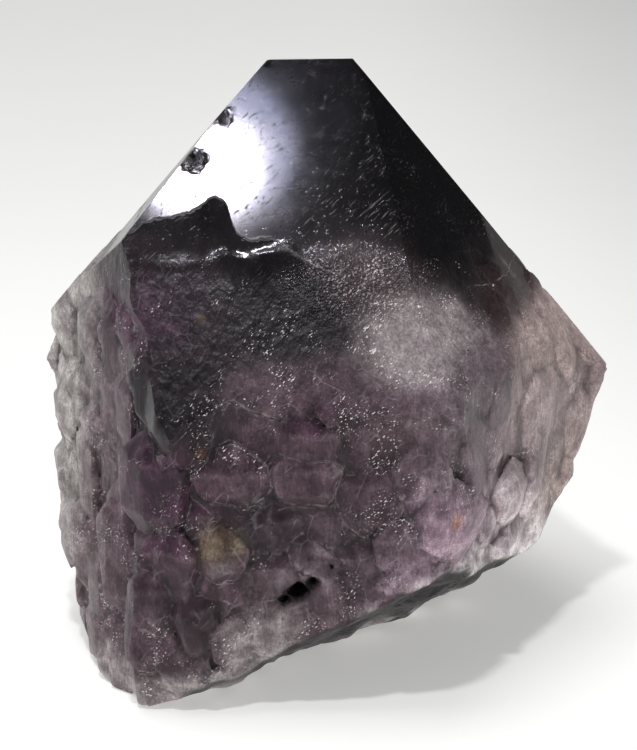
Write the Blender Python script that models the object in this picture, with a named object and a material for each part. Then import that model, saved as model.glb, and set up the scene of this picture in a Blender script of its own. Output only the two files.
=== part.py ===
"""A broken-off amethyst point: one solid.

The core is a six-sided quartz prism ground by the flat faces of its tip. Hundreds of smaller crystals
have grown on its sides, nearly parallel to it, and are fused to it. Underneath it ends in the rough
break where it came off its bed, and it rests on the lowest part of that break.
"""

import math
import random

import bmesh
import bpy
from mathutils import Matrix, Vector, noise

NAME = "amethyst_crystal"
SEED = 11

# Sizes are in metres. +Z runs up the long axis, and -Y is the side with the large dark tip face.
# An azimuth is the compass direction of a face or crystal: 0 is -Y, 90 is +X.
TIP_HEIGHT = 0.118
TIP_RIDGE_LEFT = (-0.0097, 0.0, TIP_HEIGHT)
TIP_RIDGE_RIGHT = (0.0055, 0.0, TIP_HEIGHT)
TIP_SHOULDER_LEFT = (-0.0178, -0.0067, 0.1100)
TIP_SHOULDER_RIGHT = (0.0088, -0.0020, 0.1156)
RIGHT_SHOULDER = (0.0313, -0.0050, 0.0888)
BACK_SHOULDER = (0.0, 0.0, 0.1262)
BLOCK = 0.30

# Faces of the tip: azimuth, rise of the outward normal above level, and a point on the face.
TIP_FACES = {
    "front": (0.0, 40.0, TIP_RIDGE_LEFT),
    "left": (-94.1, 40.1, TIP_SHOULDER_LEFT),
    "left_far": (-101.0, 39.8, TIP_RIDGE_LEFT),
    "left_back": (-143.0, 38.0, BACK_SHOULDER),
    "back": (181.0, 39.0, TIP_RIDGE_RIGHT),
    "right_back": (138.0, 37.0, BACK_SHOULDER),
    "right_far": (101.7, 38.6, RIGHT_SHOULDER),
    "right": (66.0, 31.3, RIGHT_SHOULDER),
    "right_front": (51.1, 35.9, RIGHT_SHOULDER),
}

# Sides of the prism: azimuth, rise of the normal (below zero where the body narrows downward), and
# distance from the axis at the height of the shoulders.
SHOULDER_HEIGHT = 0.056
PRISM_SIDES = {
    "front": (0.0, -2.0, 0.0428),
    "front_left": (-62.0, 3.0, 0.0455),
    "back_left": (-123.0, -2.5, 0.0446),
    "back": (180.0, -2.0, 0.0430),
    "back_right": (124.0, -1.5, 0.0480),
    "front_right": (56.0, -1.5, 0.0430),
    "left": (-92.0, -1.5, 0.0508),
    "left_foot": (-95.0, -18.0, 0.0615),
}

# How far the side crystals may stand past the planes of the tip and of the sides.
TIP_ALLOWANCE = 0.0011
SIDE_ALLOWANCE = 0.0027

# The break underneath: it is level where the piece rests, and climbs towards the right front.
BREAK_AZIMUTH = 40.5
BREAK_START = 0.0100
BREAK_SLOPE = 0.77
RIGHT_BREAK_START = (0.0455, 0.0255)
RIGHT_BREAK_SLOPE = 1.45
BREAK_ROUGHNESS = 0.0034
BREAK_LUMP = 0.011
HOLLOW_DEPTH = 0.0060
HOLLOW_SIZE = 0.017
HOLLOW_SHARE = 0.08
HOLLOW_CLEAR = (0.010, 0.022)
BREAK_GRID = 36
BREAK_HALF_WIDTH = 0.068
BREAK_DEPTH = 0.030

# Shapes of a small crystal, as shares of its half width.
TIP_RISE = 0.85
FOOT_DROP = 0.80
FOOT_WIDTH = 0.88
FLATNESS = 0.38

# Crystals that stand out, on the seen side: azimuth, height of the middle, width, length, how far
# they stand proud, lean of the tip outward and turn about their own axis.
LARGE_CRYSTALS = {
    "violet_shield": (-38.0, 0.0460, 0.0190, 0.0260, 0.0034, 3.0, 24.0),
    "grey_shield": (-18.5, 0.0480, 0.0225, 0.0225, 0.0022, 2.0, 6.0),
    "stained_shield": (-25.0, 0.0325, 0.0160, 0.0175, 0.0026, -2.0, -4.0),
    "left_shield": (-72.0, 0.0385, 0.0130, 0.0240, 0.0026, 3.0, -8.0),
    "left_shoulder": (-72.0, 0.0670, 0.0135, 0.0170, 0.0022, -5.0, 6.0),
    "left_middle": (-77.0, 0.0525, 0.0120, 0.0175, 0.0020, 2.0, 12.0),
    "left_inner": (-49.0, 0.0740, 0.0130, 0.0150, 0.0016, -6.0, 18.0),
    "left_column": (-52.0, 0.0570, 0.0140, 0.0200, 0.0020, 0.0, -10.0),
    "dark_column": (-33.5, 0.0650, 0.0110, 0.0230, 0.0018, -3.0, 6.0),
    "left_foot_column": (-60.0, 0.0150, 0.0140, 0.0260, 0.0026, 3.0, 10.0),
    "foot_column": (-37.0, 0.0190, 0.0150, 0.0270, 0.0024, 2.0, 4.0),
    "white_foot": (-21.5, 0.0145, 0.0105, 0.0140, 0.0028, 5.0, 16.0),
    "milky_plate": (-9.0, 0.0645, 0.0250, 0.0230, 0.0014, -3.0, 6.0),
    "milky_front": (13.0, 0.0655, 0.0200, 0.0220, 0.0018, -4.0, -8.0),
    "right_wedge": (29.0, 0.0670, 0.0170, 0.0210, 0.0022, -5.0, 14.0),
    "violet_wedge": (45.0, 0.0640, 0.0130, 0.0200, 0.0016, -2.0, -6.0),
    "right_hollow": (52.0, 0.0500, 0.0150, 0.0190, 0.0014, 0.0, 8.0),
    "lilac_small": (21.0, 0.0345, 0.0150, 0.0175, 0.0028, 4.0, 6.0),
    "lilac_large": (32.0, 0.0385, 0.0200, 0.0225, 0.0038, 3.0, -10.0),
    "pale_shield": (60.0, 0.0365, 0.0170, 0.0190, 0.0030, 4.0, 10.0),
    "right_body": (75.0, 0.0510, 0.0240, 0.0290, 0.0024, 1.0, 12.0),
    "right_upper": (71.0, 0.0640, 0.0180, 0.0180, 0.0014, -8.0, -10.0),
    "right_flank": (91.0, 0.0420, 0.0150, 0.0210, 0.0020, 2.0, -6.0),
    "front_belly": (0.5, 0.0480, 0.0230, 0.0240, 0.0016, 0.0, 12.0),
    "front_low": (-4.0, 0.0300, 0.0170, 0.0190, 0.0018, 4.0, -10.0),
    "front_right_low": (12.5, 0.0440, 0.0160, 0.0210, 0.0022, 2.0, -6.0),
}

# Rows of smaller crystals that cover the rest of the sides.
ROW_HEIGHTS = (0.003, 0.011, 0.019, 0.027, 0.035, 0.043, 0.051, 0.059, 0.067)
ROW_SPACING = 0.0112
ROW_JITTER = 0.34
SMALL_WIDTH = (0.0115, 0.0205)
SMALL_LENGTH = (1.05, 1.65)
SMALL_PROUD = (0.0002, 0.0026)
SMALL_LEAN = (-3.0, 7.0)
SMALL_TURN = 15.0
CLEAR_OF_LARGE = 0.33

# Thin plates that lie on the lower part of the tip faces, like shingles: azimuth, height, width,
# length and how far they stand proud.
LEDGES = {
    "front_left_high": (-31.0, 0.0840, 0.0150, 0.0130, 0.0010),
    "front_left_mid": (-47.0, 0.0790, 0.0150, 0.0150, 0.0013),
    "front_high": (-14.0, 0.0855, 0.0170, 0.0120, 0.0008),
    "front_mid": (-25.0, 0.0745, 0.0180, 0.0170, 0.0012),
    "flake": (-22.7, 0.0785, 0.0060, 0.0095, 0.0007),
    "front_centre": (-2.0, 0.0760, 0.0200, 0.0150, 0.0008),
    "front_right": (17.0, 0.0780, 0.0190, 0.0180, 0.0009),
    "left": (-84.0, 0.0720, 0.0150, 0.0130, 0.0010),
    "left_low": (-100.0, 0.0680, 0.0150, 0.0130, 0.0012),
    "back_left": (-130.0, 0.0720, 0.0190, 0.0160, 0.0012),
    "back_left_high": (-158.0, 0.0790, 0.0180, 0.0170, 0.0012),
    "back": (174.0, 0.0740, 0.0200, 0.0180, 0.0012),
    "back_right": (148.0, 0.0720, 0.0190, 0.0160, 0.0013),
    "right_back": (120.0, 0.0660, 0.0180, 0.0150, 0.0010),
}
LEDGE_FLATNESS = 0.22

# Chips out of the edge between the front and left tip faces: middle, width and length.
CHIPS = {
    "upper": ((-0.0187, -0.0079, 0.1090), 0.0044, 0.0062),
    "lower": ((-0.0232, -0.0130, 0.1028), 0.0054, 0.0076),
}
CHIP_TURN = 40.0

# The broken pocket low on the front: middle, width and depth.
POCKET = ((-0.0005, -0.0440, 0.0295), 0.0085, 0.0085)
POCKET_TURN = 18.0


def clear_scene():
    """Removes every object that the start-up file holds."""
    for obj in list(bpy.data.objects):
        bpy.data.objects.remove(obj, do_unlink=True)


def new_collection(name):
    """A collection linked to the scene."""
    collection = bpy.data.collections.new(name)
    bpy.context.scene.collection.children.link(collection)
    return collection


def outward(azimuth, rise):
    """The unit normal with that azimuth and rise, both in degrees."""
    a, r = math.radians(azimuth), math.radians(rise)
    return Vector((math.sin(a) * math.cos(r), -math.cos(a) * math.cos(r), math.sin(r)))


def core_planes(tip_allowance=0.0, side_allowance=0.0):
    """Every flat face of the core, as (normal, distance from the origin along it)."""
    planes = []
    for azimuth, rise, point in TIP_FACES.values():
        normal = outward(azimuth, rise)
        planes.append((normal, normal.dot(Vector(point)) + tip_allowance))
    for azimuth, rise, distance in PRISM_SIDES.values():
        normal = outward(azimuth, rise)
        on_side = outward(azimuth, 0.0) * distance + Vector((0.0, 0.0, SHOULDER_HEIGHT))
        planes.append((normal, normal.dot(on_side) + side_allowance))
    return planes


def surface_at(planes, azimuth, height):
    """The point of the core's surface in that direction from the axis, and the normal there."""
    direction = outward(azimuth, 0.0)
    start = Vector((0.0, 0.0, height))
    reach, facing = min(
        (((distance - normal.dot(start)) / normal.dot(direction), tuple(normal))
         for normal, distance in planes if normal.dot(direction) > 0.05),
    )
    return start + direction * reach, Vector(facing)


def grind(mesh, normal, distance):
    """Cuts away what lies beyond a plane and closes the cut with one flat face."""
    geometry = mesh.verts[:] + mesh.edges[:] + mesh.faces[:]
    cut = bmesh.ops.bisect_plane(
        mesh, geom=geometry, plane_co=normal * distance, plane_no=normal, clear_outer=True
    )
    edges = [item for item in cut["geom_cut"] if isinstance(item, bmesh.types.BMEdge)]
    bmesh.ops.edgenet_fill(mesh, edges=edges)


def finish_mesh(mesh, name, collection, material=None):
    """Turns a bmesh into an object of that name, with its faces pointing out."""
    bmesh.ops.recalc_face_normals(mesh, faces=mesh.faces)
    data = bpy.data.meshes.new(name)
    mesh.to_mesh(data)
    mesh.free()
    obj = bpy.data.objects.new(name, data)
    collection.objects.link(obj)
    if material:
        data.materials.append(material)
    return obj


def ground_block(planes, name, collection, material=None):
    """A block ground by every plane of the prism and the tip."""
    mesh = bmesh.new()
    bmesh.ops.create_cube(mesh, size=BLOCK)
    bmesh.ops.translate(mesh, verts=mesh.verts, vec=(0.0, 0.0, BLOCK / 2 - BREAK_DEPTH / 2))
    for normal, distance in planes:
        grind(mesh, normal, distance)
    return finish_mesh(mesh, name, collection, material)


def add_small_crystal(mesh, place, width, length, flatness, skew):
    """Adds a six-sided crystal with a pointed top and foot, put where the matrix says."""
    half = width / 2
    body = max(length - half * (TIP_RISE + FOOT_DROP), 0.15 * length)
    made = bmesh.ops.create_cone(
        mesh, segments=6, cap_ends=True, radius1=half * FOOT_WIDTH, radius2=half, depth=body
    )
    faces = {face for vertex in made["verts"] for face in vertex.link_faces}
    top = max(faces, key=lambda face: face.calc_center_median().z)
    foot = min(faces, key=lambda face: face.calc_center_median().z)
    peak = bmesh.ops.poke(mesh, faces=[top], offset=0.0)["verts"]
    base = bmesh.ops.poke(mesh, faces=[foot], offset=0.0)["verts"]
    peak[0].co += Vector((skew[0] * half, skew[1] * half, TIP_RISE * half))
    base[0].co += Vector((-skew[0] * half, 0.0, -FOOT_DROP * half))
    flatten = Matrix.Diagonal((1.0, flatness, 1.0, 1.0))
    bmesh.ops.transform(mesh, matrix=place @ flatten, verts=made["verts"] + peak + base)


def standing_frame(point, facing, lean):
    """A frame at that point with Y pointing out of the surface and Z up along it, leaning outward."""
    out = facing.normalized()
    up = (Vector((0.0, 0.0, 1.0)) - out * out.z).normalized()
    side = out.cross(up)
    turn = Matrix((side, out, up)).transposed().to_4x4()
    return Matrix.Translation(point) @ turn @ Matrix.Rotation(math.radians(-lean), 4, "X")


def crystal_matrix(planes, azimuth, height, half_depth, proud, lean, turn):
    """Where a side crystal stands: sunk into the surface until only its proud part shows."""
    point, facing = surface_at(planes, azimuth, height)
    frame = standing_frame(point - facing * (half_depth - proud), facing, lean)
    return frame @ Matrix.Rotation(math.radians(turn), 4, "Y")


def row_places(planes, picker):
    """The staggered places of the small crystals: azimuth and height of each."""
    for row, height in enumerate(ROW_HEIGHTS):
        around = sum(surface_at(planes, azimuth, height)[0].xy.length for azimuth in range(0, 360, 30))
        count = round(2 * math.pi * around / 12 / ROW_SPACING)
        for index in range(count):
            share = (index + 0.5 * (row % 2) + picker.uniform(-ROW_JITTER, ROW_JITTER)) / count
            lift = picker.uniform(-ROW_JITTER, ROW_JITTER) * 0.010
            yield 360.0 * share - 180.0, height + lift


def near_large(point, planes):
    """Whether a place is taken by one of the crystals that stand out."""
    for azimuth, height, width, length, *_ in LARGE_CRYSTALS.values():
        gap = point - surface_at(planes, azimuth, height)[0]
        across = math.hypot(gap.x, gap.y) / (CLEAR_OF_LARGE * width)
        along = gap.z / (CLEAR_OF_LARGE * length)
        if math.hypot(across, along) < 1.0:
            return True
    return False


def small_crystals(planes):
    """Every side crystal as (matrix, width, length, flatness, skew of its tip)."""
    picker = random.Random(SEED)
    for azimuth, height, width, length, proud, lean, turn in LARGE_CRYSTALS.values():
        half_depth = FLATNESS * width / 2
        place = crystal_matrix(planes, azimuth, height, half_depth, proud, lean, 0.0)
        skew = (picker.uniform(-0.25, 0.25), picker.uniform(-0.1, 0.3))
        yield place @ Matrix.Rotation(math.radians(turn), 4, "Z"), width, length, FLATNESS, skew
    for azimuth, height, width, length, proud in LEDGES.values():
        half_depth = LEDGE_FLATNESS * width / 2
        place = crystal_matrix(planes, azimuth, height, half_depth, proud, 0.0, picker.uniform(-12, 12))
        skew = (picker.uniform(-0.3, 0.3), 0.0)
        yield place, width, length, LEDGE_FLATNESS, skew
    for azimuth, height in row_places(planes, picker):
        width = picker.uniform(*SMALL_WIDTH)
        length = width * picker.uniform(*SMALL_LENGTH)
        proud = picker.uniform(*SMALL_PROUD)
        lean = picker.uniform(*SMALL_LEAN)
        turn = picker.uniform(-SMALL_TURN, SMALL_TURN)
        spin = picker.choice((0.0, 30.0)) + picker.uniform(-8.0, 8.0)
        skew = (picker.uniform(-0.35, 0.35), picker.uniform(-0.2, 0.3))
        if near_large(surface_at(planes, azimuth, height)[0], planes):
            continue
        half_depth = FLATNESS * width / 2
        place = crystal_matrix(planes, azimuth, height, half_depth, proud, lean, turn)
        yield place @ Matrix.Rotation(math.radians(spin), 4, "Z"), width, length, FLATNESS, skew


def make_overgrowth(planes, collection):
    """All the side crystals in one helper object. They overlap until a Boolean joins them."""
    mesh = bmesh.new()
    for place, width, length, flatness, skew in small_crystals(planes):
        add_small_crystal(mesh, place, width, length, flatness, skew)
    return finish_mesh(mesh, "overgrowth", collection)


def break_height(x, y):
    """Height of the broken underside: level and pitted where it rests, then climbing and lumpy."""
    toward = outward(BREAK_AZIMUTH, 0.0)
    past = toward.x * x + toward.y * y - BREAK_START
    front = BREAK_SLOPE * past
    right = RIGHT_BREAK_START[1] + RIGHT_BREAK_SLOPE * (x - RIGHT_BREAK_START[0])
    climb = max(front, right)
    lumps = noise.noise(Vector((x, y, 0.0)) / BREAK_LUMP) * BREAK_ROUGHNESS
    slope = climb + lumps * min(1.0, max(0.0, climb / BREAK_ROUGHNESS))
    inner, outer = HOLLOW_CLEAR
    clear = min(1.0, max(0.0, (math.hypot(x, y) - inner) / (outer - inner)))
    hollow = noise.noise(Vector((x, y, HOLLOW_SIZE)) / HOLLOW_SIZE) - HOLLOW_SHARE
    return max(0.0, slope, hollow * HOLLOW_DEPTH * clear)


def make_break(collection):
    """The cutter for the underside: a grid raised to the break's height and closed below."""
    mesh = bmesh.new()
    bmesh.ops.create_grid(mesh, x_segments=BREAK_GRID, y_segments=BREAK_GRID, size=BREAK_HALF_WIDTH)
    for vertex in mesh.verts:
        vertex.co.z = break_height(vertex.co.x, vertex.co.y)
    bmesh.ops.triangulate(mesh, faces=mesh.faces)
    bmesh.ops.dissolve_limit(
        mesh, angle_limit=math.radians(0.5), verts=mesh.verts, edges=mesh.edges
    )
    rim = bmesh.ops.extrude_face_region(mesh, geom=mesh.faces[:])
    for item in rim["geom"]:
        if isinstance(item, bmesh.types.BMVert):
            item.co.z = -BREAK_DEPTH
    return finish_mesh(mesh, "underside_break", collection)


def make_chips(collection):
    """Cutters for the two chips in the tip's left edge and the pocket low on the front."""
    mesh = bmesh.new()
    for middle, width, length in CHIPS.values():
        made = bmesh.ops.create_icosphere(mesh, subdivisions=1, radius=1.0)["verts"]
        shape = Matrix.Diagonal((width / 2, width / 2, length / 2, 1.0))
        turn = Matrix.Rotation(math.radians(CHIP_TURN), 4, "Y")
        bmesh.ops.transform(mesh, matrix=Matrix.Translation(middle) @ turn @ shape, verts=made)
    middle, width, depth = POCKET
    made = bmesh.ops.create_icosphere(mesh, subdivisions=1, radius=1.0)["verts"]
    shape = Matrix.Diagonal((width / 2, depth / 2, width / 2, 1.0))
    turn = Matrix.Rotation(math.radians(POCKET_TURN), 4, "Y")
    bmesh.ops.transform(mesh, matrix=Matrix.Translation(middle) @ turn @ shape, verts=made)
    return finish_mesh(mesh, "chips_and_pocket", collection)


def amethyst_material():
    """Smoky violet quartz."""
    material = bpy.data.materials.new("amethyst")
    material.use_nodes = True
    shader = material.node_tree.nodes["Principled BSDF"]
    shader.inputs["Base Color"].default_value = (0.16, 0.11, 0.16, 1.0)
    shader.inputs["Roughness"].default_value = 0.25
    shader.inputs["Metallic"].default_value = 0.0
    return material


def add_boolean(obj, operation, other, self_crossing=False):
    """Joins or cuts an object with a helper, which is then left out of the model."""
    modifier = obj.modifiers.new(operation.title(), "BOOLEAN")
    modifier.operation = operation
    modifier.object = other
    modifier.solver = "EXACT"
    modifier.use_self = self_crossing
    other.hide_render = True
    other.display_type = "WIRE"


def connected_vertices(start):
    """Every vertex that can be reached from one vertex along edges."""
    reached = {start}
    waiting = [start]
    while waiting:
        for edge in waiting.pop().link_edges:
            for vertex in edge.verts:
                if vertex not in reached:
                    reached.add(vertex)
                    waiting.append(vertex)
    return reached


def settle(obj):
    """Puts the joined shape in the object and leaves out closed pockets and loose chips."""
    depsgraph = bpy.context.evaluated_depsgraph_get()
    mesh = bmesh.new()
    mesh.from_object(obj, depsgraph)
    left = set(mesh.verts)
    bodies = []
    while left:
        body = connected_vertices(next(iter(left)))
        bodies.append(body)
        left -= body
    main_body = max(bodies, key=len)
    stray = [vertex for vertex in mesh.verts if vertex not in main_body]
    bmesh.ops.delete(mesh, geom=stray, context="VERTS")
    obj.modifiers.clear()
    mesh.to_mesh(obj.data)
    mesh.free()


def main():
    """Builds the crystal, with its tip up and its resting face at z = 0."""
    clear_scene()
    parts = new_collection("amethyst")
    helpers = new_collection("helpers")
    planes = core_planes()
    limits = core_planes(TIP_ALLOWANCE, SIDE_ALLOWANCE)
    crystal = ground_block(planes, NAME, parts, amethyst_material())
    add_boolean(crystal, "UNION", make_overgrowth(planes, helpers), self_crossing=True)
    add_boolean(crystal, "INTERSECT", ground_block(limits, "growth_limit", helpers))
    add_boolean(crystal, "DIFFERENCE", make_chips(helpers))
    add_boolean(crystal, "DIFFERENCE", make_break(helpers))
    settle(crystal)


main()
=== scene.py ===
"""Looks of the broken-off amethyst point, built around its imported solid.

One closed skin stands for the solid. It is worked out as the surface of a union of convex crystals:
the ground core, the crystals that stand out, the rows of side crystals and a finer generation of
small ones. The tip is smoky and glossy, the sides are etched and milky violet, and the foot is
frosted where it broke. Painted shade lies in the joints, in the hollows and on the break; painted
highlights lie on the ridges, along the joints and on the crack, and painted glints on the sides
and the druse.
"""

import logging
import math
import random
from collections.abc import Callable, Iterator
from dataclasses import dataclass, field
from enum import Enum
from functools import cached_property

import bpy
import numpy as np
from mathutils import Matrix, Vector, noise


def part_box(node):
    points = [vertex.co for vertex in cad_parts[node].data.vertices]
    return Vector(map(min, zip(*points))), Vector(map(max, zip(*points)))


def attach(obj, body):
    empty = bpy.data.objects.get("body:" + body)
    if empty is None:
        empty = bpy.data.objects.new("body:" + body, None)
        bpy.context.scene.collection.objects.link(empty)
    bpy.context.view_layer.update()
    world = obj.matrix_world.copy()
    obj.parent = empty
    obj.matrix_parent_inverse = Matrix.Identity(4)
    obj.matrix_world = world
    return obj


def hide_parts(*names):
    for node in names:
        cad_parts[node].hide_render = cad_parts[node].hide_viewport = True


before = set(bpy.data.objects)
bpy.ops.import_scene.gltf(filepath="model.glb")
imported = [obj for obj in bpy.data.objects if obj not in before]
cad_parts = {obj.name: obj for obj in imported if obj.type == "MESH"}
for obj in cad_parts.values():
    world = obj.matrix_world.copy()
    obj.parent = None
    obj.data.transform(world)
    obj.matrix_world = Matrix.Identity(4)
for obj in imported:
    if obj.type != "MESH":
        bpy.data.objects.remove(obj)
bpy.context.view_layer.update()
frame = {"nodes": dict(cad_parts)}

LOG = logging.getLogger("amethyst")
NODE = "amethyst_crystal"
MM = 0.001


class Face(Enum):
    """Which surface of the crystal a point lies on."""

    TIP = 0
    SIDE = 1
    BREAK = 2


@dataclass(frozen=True)
class Plane:
    """A flat face: azimuth of its normal from -Y towards +X, rise above level, and a point on it."""

    azimuth: float
    rise: float
    point: tuple[float, float, float]

    def normal(self) -> np.ndarray:
        """The unit normal, pointing out."""
        return outward(self.azimuth, self.rise)

    def row(self) -> np.ndarray:
        """The normal and its distance from the origin, as four numbers."""
        normal = self.normal()
        return np.append(normal, normal @ np.array(self.point))


def outward(azimuth: float, rise: float) -> np.ndarray:
    """The unit vector with that azimuth and rise.

    Args:
        azimuth: degrees from -Y towards +X.
        rise: degrees above level.

    Returns:
        Three numbers.
    """
    turn, lift = math.radians(azimuth), math.radians(rise)
    return np.array(
        [math.sin(turn) * math.cos(lift), -math.cos(turn) * math.cos(lift), math.sin(lift)]
    )


def side_plane(azimuth: float, rise: float, distance: float) -> Plane:
    """A side of the prism, given by its distance from the axis at the height of the shoulders."""
    reach = outward(azimuth, 0.0) * distance
    return Plane(azimuth, rise, (float(reach[0]), float(reach[1]), 0.056))


@dataclass(frozen=True)
class Core:
    """The ground prism and its tip, as in the solid."""

    tip: tuple[Plane, ...] = (
        Plane(0.0, 40.0, (-0.0097, 0.0, 0.118)),
        Plane(-94.1, 40.1, (-0.0178, -0.0067, 0.1100)),
        Plane(-101.0, 39.8, (-0.0097, 0.0, 0.118)),
        Plane(-143.0, 38.0, (0.0, 0.0, 0.1262)),
        Plane(181.0, 39.0, (0.0055, 0.0, 0.118)),
        Plane(138.0, 37.0, (0.0, 0.0, 0.1262)),
        Plane(101.7, 38.6, (0.0313, -0.0050, 0.0888)),
        Plane(66.0, 31.3, (0.0313, -0.0050, 0.0888)),
        Plane(51.1, 35.9, (0.0313, -0.0050, 0.0888)),
    )
    sides: tuple[Plane, ...] = (
        side_plane(0.0, -2.0, 0.0428),
        side_plane(-62.0, 3.0, 0.0455),
        side_plane(-123.0, -2.5, 0.0446),
        side_plane(180.0, -2.0, 0.0430),
        side_plane(124.0, -1.5, 0.0480),
        side_plane(56.0, -1.5, 0.0430),
        side_plane(-92.0, -1.5, 0.0508),
        side_plane(-95.0, -18.0, 0.0615),
    )
    tip_allowance: float = 0.0005
    side_allowance: float = 0.0040
    front_limit: Plane = Plane(0.0, 35.5, (0.0, -0.0272, 0.0856))

    def rows(self) -> np.ndarray:
        """Every face as a row of four numbers, tip first."""
        return np.array([plane.row() for plane in self.tip + self.sides])

    def limit_rows(self) -> np.ndarray:
        """Faces that side crystals may reach: these moved out, and the front one tilted in."""
        rows = self.rows()
        rows[: len(self.tip), 3] += self.tip_allowance
        rows[len(self.tip) :, 3] += self.side_allowance
        rows[0] = self.front_limit.row()
        return rows

    def surface_at(self, azimuth: float, height: float) -> tuple[Vector, Vector]:
        """The point of the core's surface in that direction from the axis, and the normal there."""
        direction = outward(azimuth, 0.0)
        start = np.array([0.0, 0.0, height])
        rows = self.rows()
        facing = rows[:, :3] @ direction
        reach = (rows[:, 3] - rows[:, :3] @ start) / np.where(facing > 0.05, facing, np.nan)
        nearest = int(np.nanargmin(reach))
        return Vector(start + direction * reach[nearest]), Vector(rows[nearest, :3])


@dataclass(frozen=True)
class Seedling:
    """One six-sided crystal: where it stands, its sizes and the skew of its point."""

    place: Matrix
    width: float
    length: float
    flatness: float
    skew: tuple[float, float]


@dataclass
class Overgrowth:
    """The crystals fused to the sides, in the solid's order, and a finer generation on top."""

    core: Core
    seed: int = 11
    tip_rise: float = 0.85
    foot_drop: float = 0.80
    foot_width: float = 0.88
    flatness: float = 0.38
    ledge_flatness: float = 0.22
    fine_flatness: float = 0.34
    jitter: float = 0.34
    large: dict[str, tuple[float, ...]] = field(
        default_factory=lambda: {
            "violet_shield": (-38.0, 0.0460, 0.0190, 0.0260, 0.0034, 3.0, 24.0),
            "grey_shield": (-18.5, 0.0480, 0.0225, 0.0225, 0.0022, 2.0, 6.0),
            "stained_shield": (-25.0, 0.0325, 0.0160, 0.0175, 0.0026, -2.0, -4.0),
            "left_shield": (-72.0, 0.0385, 0.0130, 0.0240, 0.0026, 3.0, -8.0),
            "left_shoulder": (-72.0, 0.0670, 0.0135, 0.0170, 0.0022, -5.0, 6.0),
            "left_middle": (-77.0, 0.0525, 0.0120, 0.0175, 0.0020, 2.0, 12.0),
            "left_inner": (-49.0, 0.0740, 0.0130, 0.0150, 0.0016, -6.0, 18.0),
            "left_column": (-52.0, 0.0570, 0.0140, 0.0200, 0.0020, 0.0, -10.0),
            "dark_column": (-33.5, 0.0650, 0.0110, 0.0230, 0.0018, -3.0, 6.0),
            "left_foot_column": (-60.0, 0.0150, 0.0140, 0.0260, 0.0026, 3.0, 10.0),
            "foot_column": (-37.0, 0.0190, 0.0150, 0.0270, 0.0024, 2.0, 4.0),
            "white_foot": (-21.5, 0.0145, 0.0105, 0.0140, 0.0028, 5.0, 16.0),
            "milky_plate": (-9.0, 0.0645, 0.0250, 0.0230, 0.0014, -3.0, 6.0),
            "milky_front": (13.0, 0.0655, 0.0200, 0.0220, 0.0018, -4.0, -8.0),
            "right_wedge": (29.0, 0.0670, 0.0170, 0.0210, 0.0022, -5.0, 14.0),
            "violet_wedge": (45.0, 0.0640, 0.0130, 0.0200, 0.0016, -2.0, -6.0),
            "right_hollow": (52.0, 0.0500, 0.0150, 0.0190, 0.0014, 0.0, 8.0),
            "lilac_small": (21.0, 0.0345, 0.0150, 0.0175, 0.0028, 4.0, 6.0),
            "lilac_large": (32.0, 0.0385, 0.0200, 0.0225, 0.0038, 3.0, -10.0),
            "pale_shield": (60.0, 0.0365, 0.0170, 0.0190, 0.0030, 4.0, 10.0),
            "right_body": (75.0, 0.0510, 0.0240, 0.0290, 0.0024, 1.0, 12.0),
            "right_upper": (71.0, 0.0640, 0.0180, 0.0180, 0.0014, -8.0, -10.0),
            "right_flank": (91.0, 0.0420, 0.0150, 0.0210, 0.0020, 2.0, -6.0),
            "front_belly": (0.5, 0.0480, 0.0230, 0.0240, 0.0016, 0.0, 12.0),
            "front_low": (-4.0, 0.0300, 0.0170, 0.0190, 0.0018, 4.0, -10.0),
            "front_right_low": (12.5, 0.0440, 0.0160, 0.0210, 0.0022, 2.0, -6.0),
        }
    )
    ledges: dict[str, tuple[float, ...]] = field(
        default_factory=lambda: {
            "front_left_high": (-31.0, 0.0840, 0.0150, 0.0130, 0.0010),
            "front_left_mid": (-47.0, 0.0790, 0.0150, 0.0150, 0.0013),
            "front_high": (-14.0, 0.0855, 0.0170, 0.0120, 0.0008),
            "front_mid": (-25.0, 0.0745, 0.0180, 0.0170, 0.0012),
            "flake": (-22.7, 0.0785, 0.0060, 0.0095, 0.0007),
            "front_centre": (-2.0, 0.0760, 0.0200, 0.0150, 0.0008),
            "front_right": (17.0, 0.0780, 0.0190, 0.0180, 0.0009),
            "left": (-84.0, 0.0720, 0.0150, 0.0130, 0.0010),
            "left_low": (-100.0, 0.0680, 0.0150, 0.0130, 0.0012),
            "back_left": (-130.0, 0.0720, 0.0190, 0.0160, 0.0012),
            "back_left_high": (-158.0, 0.0790, 0.0180, 0.0170, 0.0012),
            "back": (174.0, 0.0740, 0.0200, 0.0180, 0.0012),
            "back_right": (148.0, 0.0720, 0.0190, 0.0160, 0.0013),
            "right_back": (120.0, 0.0660, 0.0180, 0.0150, 0.0010),
        }
    )
    lumps: tuple[tuple[float, ...], ...] = (
        (-88.0, 0.0665, 0.0120, 0.0150, 0.0026),
        (-96.0, 0.0560, 0.0130, 0.0140, 0.0034),
        (-84.0, 0.0480, 0.0120, 0.0150, 0.0030),
        (-98.0, 0.0410, 0.0140, 0.0160, 0.0036),
        (-88.0, 0.0330, 0.0120, 0.0140, 0.0030),
        (-104.0, 0.0620, 0.0130, 0.0150, 0.0030),
        (-80.0, 0.0230, 0.0120, 0.0170, 0.0026),
        (-95.0, 0.0190, 0.0130, 0.0150, 0.0028),
    )

    def standing(self, point: Vector, facing: Vector, lean: float) -> Matrix:
        """A frame at that point with Y out of the surface and Z up along it, leaning outward."""
        out = facing.normalized()
        up = (Vector((0.0, 0.0, 1.0)) - out * out.z).normalized()
        side = out.cross(up)
        turn = Matrix((side, out, up)).transposed().to_4x4()
        return Matrix.Translation(point) @ turn @ Matrix.Rotation(math.radians(-lean), 4, "X")

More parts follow.
